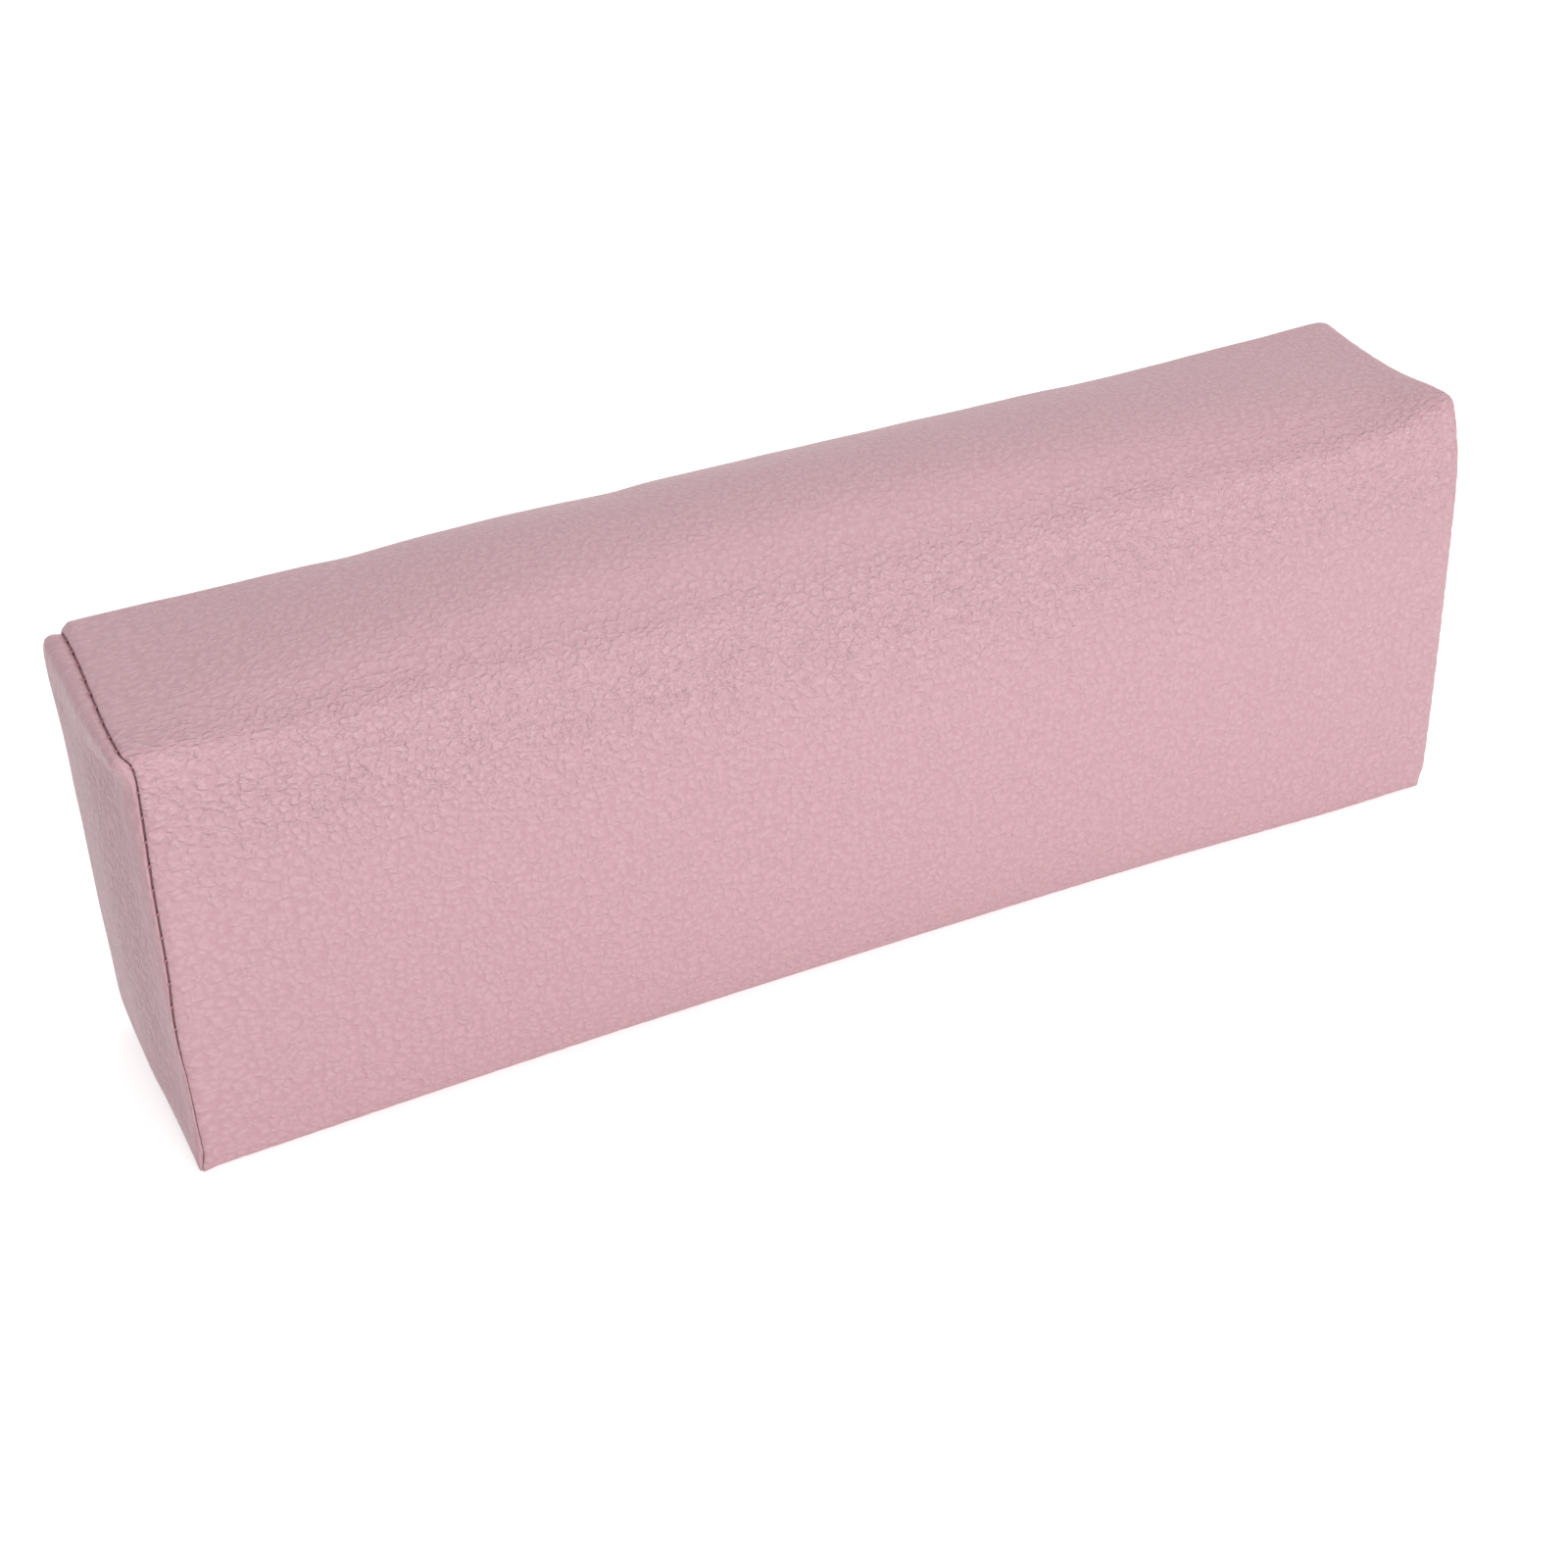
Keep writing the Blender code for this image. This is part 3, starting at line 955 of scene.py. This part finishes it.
@dataclass
class CushionSkin:
    """Makes the cushion's mesh from its panels and seams.

    Attributes:
        cushion: The settled cushion.
        grain: How the grain lies on the panels.
        name: The piece's name.
        sway: How far the leather waves in and out, past its grain.
        waves: The length of its broad and of its short waves, in millimetres.
        short_share: How high the short waves are, as a share of the broad ones.
        sway_fade: How far from a panel's border the waves grow.
    """

    cushion: Cushion
    grain: GrainMap
    name: str = "padded_cushion"
    sway: float = 0.16 * MM
    waves: tuple[float, float] = (26.0, 9.0)
    short_share: float = 0.45
    sway_fade: float = 6 * MM

    def made(self) -> bpy.types.Object:
        """Makes the closed piece."""
        skin = Skin()
        floors = self.floors(skin)
        for panel in Panel:
            self.add_panel(skin, panel, floors)
        piece = bpy.data.objects.new(self.name, skin.mesh(self.name))
        bpy.context.scene.collection.objects.link(piece)
        LOG.info("%s: %d points, %d faces", self.name, len(piece.data.vertices), len(piece.data.polygons))
        return piece

    def floors(self, skin: Skin) -> dict[Seam, np.ndarray]:
        """Adds the inner ends of the seams' openings, which two panels share.

        Args:
            skin: The skin to add to.

        Returns:
            The point numbers along each seam.
        """
        numbers = {
            seam: skin.add(run.floor(), np.array(self.grain.hidden))
            for seam, run in self.cushion.seams.items()
        }
        for meeting in CORNERS:
            first, end = meeting[0]
            for seam, other_end in meeting[1:]:
                numbers[seam][other_end] = numbers[first][end]
        return numbers

    def places(self, panel: Panel, drawn: bool) -> tuple[np.ndarray, np.ndarray]:
        """The places of a panel's points along its two directions, inside the roll or at the seams."""
        nodes = self.cushion.nodes
        rows, columns = {
            Panel.WRAP: (nodes.x, nodes.strip),
            Panel.BOTTOM: (nodes.x, nodes.y),
            Panel.LEFT: (nodes.y, nodes.z),
            Panel.RIGHT: (nodes.y, nodes.z),
        }[panel]
        if drawn:
            rows, columns = self.cushion.roll.drawn_in(rows), self.cushion.roll.drawn_in(columns)
        return np.meshgrid(rows, columns, indexing="ij")

    def waved(self, panel: Panel, points: np.ndarray, rows: np.ndarray, columns: np.ndarray) -> np.ndarray:
        """Moves a panel's face in and out a little, as leather over foam does."""
        normals = self.cushion.normal(panel, rows[:, 0], columns[0])
        heights = np.empty(points.shape[:2])
        (broad, short), apart = self.waves, Vector((7, 3, 5))
        for i, line in enumerate(points):
            for j, place in enumerate(line):
                spot = Vector(place) * 1000
                ripple = self.short_share * noise.noise(spot / short + apart)
                heights[i, j] = noise.noise(spot / broad) + ripple
        inner = np.minimum(rows, rows[-1, 0] + rows[0, 0] - rows)
        inner = np.minimum(inner, np.minimum(columns, columns[0, -1] + columns[0, 0] - columns))
        fade = eased(inner / self.sway_fade)
        return points + normals * (heights * fade * self.sway)[..., None]

    def add_panel(self, skin: Skin, panel: Panel, floors: dict[Seam, np.ndarray]) -> None:
        """Adds a panel's face, its roll and its side of the seams' openings.

        Args:
            skin: The skin to add to.
            panel: The panel.
            floors: The point numbers of the openings' inner ends.
        """
        cushion = self.cushion
        turned = cushion.faces[panel].turned
        rows, columns = self.places(panel, drawn=True)
        face = self.waved(panel, cushion.face_grid(panel), rows, columns)
        face_grain = self.grain.placed(panel, rows, columns)
        numbers = skin.add(face, face_grain)
        skin.grid(numbers, turned)
        places, seams = cushion.border(panel)
        picked = tuple(np.array(places).T)
        runs = [cushion.seams[seam] for seam, _ in seams]
        at = [number for _, number in seams]
        edge = np.array([run.edge[n] for run, n in zip(runs, at)])
        inward = np.array([run.inward[n] for run, n in zip(runs, at)])
        crease = edge + np.array([run.sink[n] + run.inward[n] * run.pull[n] for run, n in zip(runs, at)])
        gap = np.array([run.gap[n] for run, n in zip(runs, at)])[:, None]
        floor = np.array([floors[seam][n] for seam, n in seams])
        start = face[picked]
        outer_rows, outer_columns = self.places(panel, drawn=False)
        first_grain = face_grain[picked]
        edge_grain = self.grain.placed(panel, outer_rows, outer_columns)[picked]
        across = start - edge
        side = unit(across - np.sum(across * inward, axis=1, keepdims=True) * inward)
        mouth = crease + side * gap
        turns = [run.lip[n] if panel is Panel.WRAP else run.brink[n] for run, n in zip(runs, at)]
        roll, shoulder = cushion.roll, edge + np.array(turns) + cushion.stand_off(panel, edge)
        before = start + roll.easing * (shoulder - start)
        after = mouth + roll.fullness * (shoulder - mouth)
        span = np.linalg.norm(edge - start, axis=1, keepdims=True)
        lines = []
        for t in np.linspace(0, 1, roll.steps + 1)[1:]:
            curve = (1 - t) ** 3 * start + 3 * t * (1 - t) ** 2 * before
            lines.append(curve + 3 * t * t * (1 - t) * after + t**3 * mouth)
        for share, wide in roll.slot_rows:
            lines.append(crease + inward * roll.slot * share + side * gap * wide)
        loop, last, travelled = numbers[picked], start, 0.0
        for line in lines:
            travelled = travelled + np.linalg.norm(line - last, axis=1, keepdims=True)
            grain = first_grain + (edge_grain - first_grain) * travelled / span
            next_loop = skin.add(line, grain)
            skin.band(loop, next_loop, turned)
            loop, last = next_loop, line
        skin.band(loop, floor, turned)


@dataclass(frozen=True)
class FauxLeather:
    """Faux leather: satin polyurethane on a knitted back, embossed with a pebbled grain.

    The coating gives the eye wide, soft highlights, and the embossing breaks them up: each pebble
    catches a little light, and the creases between them are a shade darker, partly from the bump and
    partly from painted shade: a darker colour is painted down in them.

    Attributes:
        colour: The colour of the pebbles.
        crease_shade_colour: The darker colour painted down in the creases, as painted shade.
        pebble: The usual size of a pebble, in millimetres.
        small_share: The size of a small pebble, as a share of that.
        small_amount: How much the small ones count where they are rarest and where they are commonest.
        relief: How deep the creases are, in metres.
        bend: How far the creases stray from straight lines, in millimetres.
        pore_share: How high the pores between the pebbles are, as a share of the pebbles.
        swell_share: How high the broad swells are, as a share of the pebbles.
        roughness: The roughness of the satin finish.
        shine: The strength of its highlights.
    """

    colour: str = "#D8AFB7"
    crease_shade_colour: str = "#CCA0A9"
    pebble: float = 1.75
    small_share: float = 0.6
    small_amount: tuple[float, float] = (0.1, 0.6)
    relief: float = 0.3 * MM
    bend: float = 1.5
    pore_share: float = 0.5
    swell_share: float = 0.3
    roughness: float = 0.4
    shine: float = 0.42

    def made(self) -> bpy.types.Material:
        """Makes the material."""
        material = bpy.data.materials.new("pink_faux_leather")
        material.use_nodes = True
        tree = material.node_tree
        shader = tree.nodes["Principled BSDF"]
        place = add_node(tree, "ShaderNodeUVMap", uv_map="Grain").outputs["UV"]
        strays = add_node(
            tree, "ShaderNodeTexNoise", {"Vector": place, "Scale": 0.4, "Detail": 1.0}, noise_dimensions="2D"
        ).outputs["Color"]
        shifted = add_node(
            tree, "ShaderNodeVectorMath", {0: strays, 1: (0.5, 0.5, 0.5)}, operation="SUBTRACT"
        )
        warped = add_node(
            tree,
            "ShaderNodeVectorMath",
            {0: shifted.outputs[0], 1: (self.bend, self.bend, 0.0), 2: place},
            operation="MULTIPLY_ADD",
        ).outputs[0]
        large = self.pebbles(tree, warped, self.pebble)
        small = self.pebbles(tree, warped, self.pebble * self.small_share)
        swells = add_node(
            tree, "ShaderNodeTexNoise", {"Vector": place, "Scale": 0.16, "Detail": 2.0}, noise_dimensions="2D"
        ).outputs["Fac"]
        rarest, commonest = self.small_amount
        share = add_node(
            tree,
            "ShaderNodeMapRange",
            {"Value": swells, "From Min": 0.38, "From Max": 0.62, "To Min": rarest, "To Max": commonest},
        ).outputs["Result"]
        domes = add_node(
            tree, "ShaderNodeMix", {"Factor": share, "A": large, "B": small}, data_type="FLOAT"
        ).outputs["Result"]
        pores = add_node(
            tree, "ShaderNodeTexNoise", {"Vector": place, "Scale": 1.4, "Detail": 1.0}, noise_dimensions="2D"
        ).outputs["Fac"]
        rough = add_node(
            tree, "ShaderNodeMath", {0: pores, 1: self.pore_share, 2: domes}, operation="MULTIPLY_ADD"
        ).outputs[0]
        raised = add_node(
            tree, "ShaderNodeMath", {0: swells, 1: self.swell_share, 2: rough}, operation="MULTIPLY_ADD"
        ).outputs[0]
        opened = add_node(tree, "ShaderNodeAttribute", attribute_name="Grain_open").outputs["Fac"]
        depth = add_node(tree, "ShaderNodeMath", {0: opened, 1: self.relief}, operation="MULTIPLY")
        bump = add_node(
            tree, "ShaderNodeBump", {"Height": raised, "Strength": 1.0, "Distance": depth.outputs[0]}
        )
        # Painted shade: the creases get a darker colour than the pebbles, where their hollows lie in shade.
        crease_shade_tint = add_node(
            tree,
            "ShaderNodeMix",
            {"Factor": domes, "A": linear(self.crease_shade_colour), "B": linear(self.colour)},
            data_type="RGBA",
        )
        tree.links.new(crease_shade_tint.outputs["Result"], shader.inputs["Base Color"])
        tree.links.new(bump.outputs["Normal"], shader.inputs["Normal"])
        shader.inputs["Roughness"].default_value = self.roughness
        shader.inputs["Specular IOR Level"].default_value = self.shine
        return material

    @staticmethod
    def pebbles(tree: bpy.types.NodeTree, place: bpy.types.NodeSocket, size: float) -> bpy.types.NodeSocket:
        """Adds round pebbles with creases between them.

        Args:
            tree: The material's nodes.
            place: The grain's coordinates, in millimetres.
            size: The usual size of a pebble, in millimetres.

        Returns:
            The height, from 0 in the creases to 1 on the pebbles.
        """
        cells = add_node(
            tree,
            "ShaderNodeTexVoronoi",
            {"Vector": place, "Scale": 1 / size, "Smoothness": 0.22, "Randomness": 0.85},
            feature="SMOOTH_F1",
            voronoi_dimensions="2D",
        )
        away = cells.outputs["Distance"]
        return add_node(
            tree,
            "ShaderNodeMapRange",
            {"Value": away, "From Min": 0.0, "From Max": 0.7, "To Min": 1.0, "To Max": 0.0},
            interpolation_type="SMOOTHSTEP",
        ).outputs["Result"]


@dataclass(frozen=True)
class SewingThread:
    """Matte polyester sewing thread, twisted from three plies.

    Its fibres scatter the light, so a bite shows no highlight. Its colour is darker than the leather's,
    partly the thread's own pink and partly painted shade of the seam, so a bite gives the eye a dull, dark
    tick.

    Attributes:
        colour: The thread's colour, partly its own pink and partly darkened as painted shade.
        roughness: Its roughness.
    """

    colour: str = "#B9868E"
    roughness: float = 0.8

    def made(self) -> bpy.types.Material:
        """Makes the material."""
        material = bpy.data.materials.new("sewing_thread")
        material.use_nodes = True
        shader = material.node_tree.nodes["Principled BSDF"]
        # Painted shade: the thread's colour is partly darkened to stand in for the shade in the seam.
        shader.inputs["Base Color"].default_value = linear(self.colour)
        shader.inputs["Roughness"].default_value = self.roughness
        return material


@dataclass
class Stitches:
    """The bites of thread that cross one seam, or two that meet.

    Attributes:
        name: The piece's name.
        node: The node that the piece replaces.
        seams: The runs of seam that it crosses.
        thread: Half the thread's thickness.
        sink: How far under the seam's mouth a bite lies.
        grip: How far a bite goes into the leather on each side.
        lean: How far a bite stands off the middle of an end's seam, towards the end panel.
        tuck: How much deeper a bite lies where the seam is closed.
        rise: How high the middle of a bite's curve is pulled.
        dip: How deep its two ends go in.
        slant: How far its two ends are shifted along the seam, to each side.
        unevenness: How much shorter than the longest bite the shortest one may be, as a share.
        seed: Picks the uneven lengths.
    """

    name: str
    node: str
    seams: tuple[Seam, ...]
    thread: float = 0.26 * MM
    sink: float = 0.12 * MM
    grip: float = 0.35 * MM
    lean: float = 0.1 * MM
    tuck: float = 0.4 * MM
    rise: float = 0.75 * MM
    dip: float = 0.45 * MM
    slant: float = 0.35 * MM
    unevenness: float = 0.25
    seed: int = 11

    def spots(self, cushion: Cushion) -> bpy.types.Object:
        """The bites' places, with the directions and the width of each one as attributes."""
        places, across, outward, width = [], [], [], []
        for seam in self.seams:
            run = cushion.seams[seam]
            travel, middle = run.travel(), run.crease()
            bites = cushion.sewing.bites(travel[-1])
            along = unit(np.gradient(middle, travel, axis=0))
            for at in bites:
                pick = [np.interp(at, travel, middle[:, k]) for k in range(3)]
                inward = unit(np.array([np.interp(at, travel, run.inward[:, k]) for k in range(3)]))
                forward = np.array([np.interp(at, travel, along[:, k]) for k in range(3)])
                to_end = [np.interp(at, travel, run.brink[:, k] - run.lip[:, k]) for k in range(3)]
                gap = np.interp(at, travel, run.gap)
                shut = (cushion.sewing.open_gap - gap) / (cushion.sewing.open_gap - cushion.sewing.shut_gap)
                sunk = np.array(pick) + inward * (self.sink + self.tuck * shut)
                places.append(sunk + unit(np.array(to_end)) * self.lean)
                across.append(unit(np.cross(inward, forward)))
                outward.append(-inward)
                width.append(gap + self.grip)
        mesh = bpy.data.meshes.new(self.name)
        mesh.from_pydata([tuple(p) for p in places], [], [])
        for title, rows in (("across", across), ("outward", outward)):
            layer = mesh.attributes.new(title, "FLOAT_VECTOR", "POINT")
            layer.data.foreach_set("vector", np.array(rows, dtype=np.float32).ravel())
        wide = mesh.attributes.new("width", "FLOAT", "POINT")
        wide.data.foreach_set("value", np.array(width, dtype=np.float32))
        spots = bpy.data.objects.new(self.name, mesh)
        bpy.context.scene.collection.objects.link(spots)
        return spots

    def tree(self) -> bpy.types.NodeTree:
        """Builds the nodes that put one bent bite of thread on every spot."""
        tree = bpy.data.node_groups.new(self.name + "_bites", "GeometryNodeTree")
        sockets = (
            ("Geometry", "NodeSocketGeometry", None),
            ("Thread radius", "NodeSocketFloat", self.thread),
            ("Slant", "NodeSocketFloat", self.slant),
            ("Unevenness", "NodeSocketFloat", self.unevenness),
            ("Seed", "NodeSocketInt", self.seed),
            ("Material", "NodeSocketMaterial", None),
        )
        for title, kind, default in sockets:
            made = tree.interface.new_socket(title, in_out="INPUT", socket_type=kind)
            if default is not None:
                made.default_value = default
        tree.interface.new_socket("Geometry", in_out="OUTPUT", socket_type="NodeSocketGeometry")
        given = add_node(tree, "NodeGroupInput").outputs
        slant = given["Slant"]
        back = add_node(tree, "ShaderNodeMath", {0: slant, 1: -1.0}, operation="MULTIPLY").outputs[0]
        start = add_node(tree, "ShaderNodeCombineXYZ", {"X": -1.0, "Y": back, "Z": -self.dip})
        end = add_node(tree, "ShaderNodeCombineXYZ", {"X": 1.0, "Y": slant, "Z": -self.dip})
        middle = (0.0, 0.0, self.rise)
        bow = add_node(
            tree,
            "GeometryNodeCurveQuadraticBezier",
            {"Resolution": 8, "Start": start.outputs[0], "Middle": middle, "End": end.outputs[0]},
        )
        across, outward, width = (
            add_node(tree, "GeometryNodeInputNamedAttribute", {"Name": title}, data_type=kind).outputs[0]
            for title, kind in (("across", "FLOAT_VECTOR"), ("outward", "FLOAT_VECTOR"), ("width", "FLOAT"))
        )
        turn = add_node(
            tree,
            "FunctionNodeAxesToRotation",
            {"Primary Axis": outward, "Secondary Axis": across},
            primary_axis="Z",
            secondary_axis="X",
        )
        uneven = add_node(tree, "ShaderNodeMath", {0: 1.0, 1: given["Unevenness"]}, operation="SUBTRACT")
        length = add_node(
            tree,
            "FunctionNodeRandomValue",
            {"Min": uneven.outputs[0], "Max": 1.0, "Seed": given["Seed"]},
            data_type="FLOAT",
        )
        wide = add_node(
            tree, "ShaderNodeMath", {0: width, 1: length.outputs["Value"]}, operation="MULTIPLY"
        )
        scale = add_node(tree, "ShaderNodeCombineXYZ", {"X": wide.outputs[0], "Y": 1.0, "Z": 1.0})
        spread = add_node(
            tree,
            "GeometryNodeInstanceOnPoints",
            {
                "Points": given["Geometry"],
                "Instance": bow.outputs[0],
                "Rotation": turn.outputs[0],
                "Scale": scale.outputs[0],
            },
        )
        bare = add_node(tree, "GeometryNodeRealizeInstances", {"Geometry": spread.outputs[0]})
        ring = add_node(
            tree, "GeometryNodeCurvePrimitiveCircle", {"Resolution": 10, "Radius": given["Thread radius"]}
        )
        tube = add_node(
            tree,
            "GeometryNodeCurveToMesh",
            {"Curve": bare.outputs[0], "Profile Curve": ring.outputs[0], "Fill Caps": True},
        )
        smooth = add_node(tree, "GeometryNodeSetShadeSmooth", {"Geometry": tube.outputs[0]})
        dressed = add_node(
            tree,
            "GeometryNodeSetMaterial",
            {"Geometry": smooth.outputs[0], "Material": given["Material"]},
        )
        add_node(tree, "NodeGroupOutput", {"Geometry": dressed.outputs[0]})
        return tree

    def made(self, cushion: Cushion, material: bpy.types.Material) -> bpy.types.Object:
        """Makes the piece as a plain mesh.

        Args:
            cushion: The cushion that is sewn.
            material: The thread's material.

        Returns:
            The piece.
        """
        piece, tree = self.spots(cushion), self.tree()
        modifier = piece.modifiers.new("Bites", "NODES")
        modifier.node_group = tree
        sockets = {s.name: s.identifier for s in tree.interface.items_tree if s.in_out == "INPUT"}
        modifier[sockets["Material"]] = material
        modifier[sockets["Thread radius"]] = self.thread
        modifier[sockets["Seed"]] = self.seed
        shown = piece.evaluated_get(bpy.context.evaluated_depsgraph_get())
        mesh = bpy.data.meshes.new_from_object(shown)
        bare = piece.data
        piece.modifiers.remove(modifier)
        piece.data = mesh
        bpy.data.meshes.remove(bare)
        mesh.name = self.name
        LOG.info("%s: %d faces", self.name, len(mesh.polygons))
        return piece


@dataclass(frozen=True)
class Lamp:
    """A soft rectangular lamp.

    Attributes:
        name: The lamp's name.
        place: Where it hangs, in metres.
        size: The length of its sides, in metres.
        power: Its power, in watts.
    """

    name: str
    place: tuple[float, float, float]
    size: float
    power: float

    def hang(self, target: Vector) -> None:
        """Hangs the lamp and aims it at the target."""
        light = bpy.data.lights.new(self.name, "AREA")
        light.shape, light.size, light.energy = "SQUARE", self.size, self.power
        lamp = bpy.data.objects.new(self.name, light)
        lamp.location = self.place
        lamp.rotation_euler = (target - lamp.location).to_track_quat("-Z", "Y").to_euler()
        bpy.context.scene.collection.objects.link(lamp)


@dataclass(frozen=True)
class Studio:
    """The pale floor, the soft lamps and the world.

    Attributes:
        lamps: The lamps.
        world_strength: The strength of the plain light from all round.
        floor_size: The length of the floor's sides, in metres.
        floor_colour: The floor's colour.
        floor_glow: The light that the floor adds for the camera alone.
        aim: The point that the lamps are turned to.
    """

    lamps: tuple[Lamp, ...] = (
        Lamp("key_lamp", (0.16, -0.92, 0.4), 0.6, 4.7),
        Lamp("top_lamp", (0.14, 0.2, 1.3), 1.0, 2.75),
    )
    world_strength: float = 0.54
    floor_size: float = 12.0
    floor_colour: str = "#F4F3F2"
    floor_glow: float = 0.55
    aim: tuple[float, float, float] = (0.0, 0.0, 0.05)

    def made(self) -> None:
        """Builds the floor, the lamps and the world."""
        for lamp in self.lamps:
            lamp.hang(Vector(self.aim))
        half = self.floor_size / 2
        mesh = bpy.data.meshes.new("floor")
        corners = [(-half, -half, 0.0), (half, -half, 0.0), (half, half, 0.0), (-half, half, 0.0)]
        mesh.from_pydata(corners, [], [(0, 1, 2, 3)])
        floor = bpy.data.objects.new("floor", mesh)
        bpy.context.scene.collection.objects.link(floor)
        mesh.materials.append(self.floor_material())
        self.make_world()

    @staticmethod
    def seen(tree: bpy.types.NodeTree) -> bpy.types.NodeSocket:
        """Gives 1 for the rays that show the background: the camera's, and glossy and clear ones."""
        path = add_node(tree, "ShaderNodeLightPath").outputs
        shown = path["Is Camera Ray"]
        for other in ("Is Glossy Ray", "Is Transmission Ray"):
            either = add_node(tree, "ShaderNodeMath", {0: shown, 1: path[other]}, operation="MAXIMUM")
            shown = either.outputs[0]
        return shown

    def floor_material(self) -> bpy.types.Material:
        """Makes the matte floor, which is lifted to white for the camera and keeps its shadow."""
        material = bpy.data.materials.new("pale_floor")
        material.use_nodes = True
        tree = material.node_tree
        tree.nodes.remove(tree.nodes["Principled BSDF"])
        matte = add_node(tree, "ShaderNodeBsdfDiffuse", {"Color": linear(self.floor_colour)})
        glow = add_node(
            tree, "ShaderNodeMath", {0: self.seen(tree), 1: self.floor_glow}, operation="MULTIPLY"
        )
        light = add_node(
            tree, "ShaderNodeEmission", {"Color": (1.0, 1.0, 1.0, 1.0), "Strength": glow.outputs[0]}
        )
        both = add_node(tree, "ShaderNodeAddShader", {0: matte.outputs[0], 1: light.outputs[0]})
        tree.links.new(both.outputs[0], tree.nodes["Material Output"].inputs["Surface"])
        return material

    def make_world(self) -> None:
        """Makes the world: plain soft light, and white where it is seen."""
        world = bpy.data.worlds.new("studio")
        world.use_nodes = True
        bpy.context.scene.world = world
        tree = world.node_tree
        soft = tree.nodes["Background"]
        soft.inputs["Color"].default_value = (1.0, 1.0, 1.0, 1.0)
        soft.inputs["Strength"].default_value = self.world_strength
        white = add_node(tree, "ShaderNodeBackground", {"Color": (1.0, 1.0, 1.0, 1.0), "Strength": 1.0})
        mixed = add_node(
            tree, "ShaderNodeMixShader", {0: self.seen(tree), 1: soft.outputs[0], 2: white.outputs[0]}
        )
        tree.links.new(mixed.outputs[0], tree.nodes["World Output"].inputs["Surface"])


@dataclass(frozen=True)
class Viewpoint:
    """The camera at the photograph's place.

    Attributes:
        place: Where the camera stands, in metres.
        right: The picture's direction to the right.
        upward: The picture's upward direction.
        backward: The direction away from the scene.
        lens: The focal length, in millimetres.
        frame_width: The width of the picture in the camera, in millimetres.
        sight: The nearest and the furthest distance that the camera sees, in metres.
    """

    place: tuple[float, float, float] = (-0.203476, -0.456312, 0.373023)
    right: tuple[float, float, float] = (0.906728, -0.420463, -0.032480)
    upward: tuple[float, float, float] = (0.261648, 0.500494, 0.825255)
    backward: tuple[float, float, float] = (-0.330734, -0.756780, 0.563826)
    lens: float = 63.502
    frame_width: float = 36.0
    sight: tuple[float, float] = (0.01, 50.0)

    def made(self) -> None:
        """Makes the camera and gives it to the scene."""
        data = bpy.data.cameras.new("camera")
        data.lens, data.sensor_width = self.lens, self.frame_width
        data.clip_start, data.clip_end = self.sight
        camera = bpy.data.objects.new("camera", data)
        turned = Matrix((self.right, self.upward, self.backward)).transposed().to_4x4()
        camera.matrix_world = Matrix.Translation(self.place) @ turned
        bpy.context.scene.collection.objects.link(camera)
        bpy.context.scene.camera = camera


THREADS = (
    Stitches("stitches_left_end", "thread_left_end", (Seam.LEFT_ARCH, Seam.LEFT_FOOT)),
    Stitches("stitches_right_end", "thread_right_end", (Seam.RIGHT_ARCH, Seam.RIGHT_FOOT)),
    Stitches("stitches_bottom_front", "thread_bottom_front", (Seam.FRONT_FOOT,)),
    Stitches("stitches_bottom_back", "thread_bottom_back", (Seam.BACK_FOOT,)),
)

COVER_NODES = ("foam_core", "cover_wrap", "bottom_panel", "end_panel_left", "end_panel_right")


def main() -> None:
    """Builds the cushion and its stitches, the studio and the camera."""
    logging.basicConfig(level=logging.INFO, format="%(name)s %(message)s")
    bpy.context.scene.view_settings.view_transform = "Standard"
    cushion = Cushion(Block(), Filling(Block()), Shaping(), Roll(), Sewing())
    leather, thread = FauxLeather().made(), SewingThread().made()
    skin = CushionSkin(cushion, GrainMap()).made()
    skin.data.materials.append(leather)
    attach(skin, "root")
    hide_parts(*COVER_NODES)
    for stitches in THREADS:
        piece = stitches.made(cushion, thread)
        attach(piece, "root")
        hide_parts(stitches.node)
    Studio().made()
    Viewpoint().made()


if __name__ == "__main__":
    main()
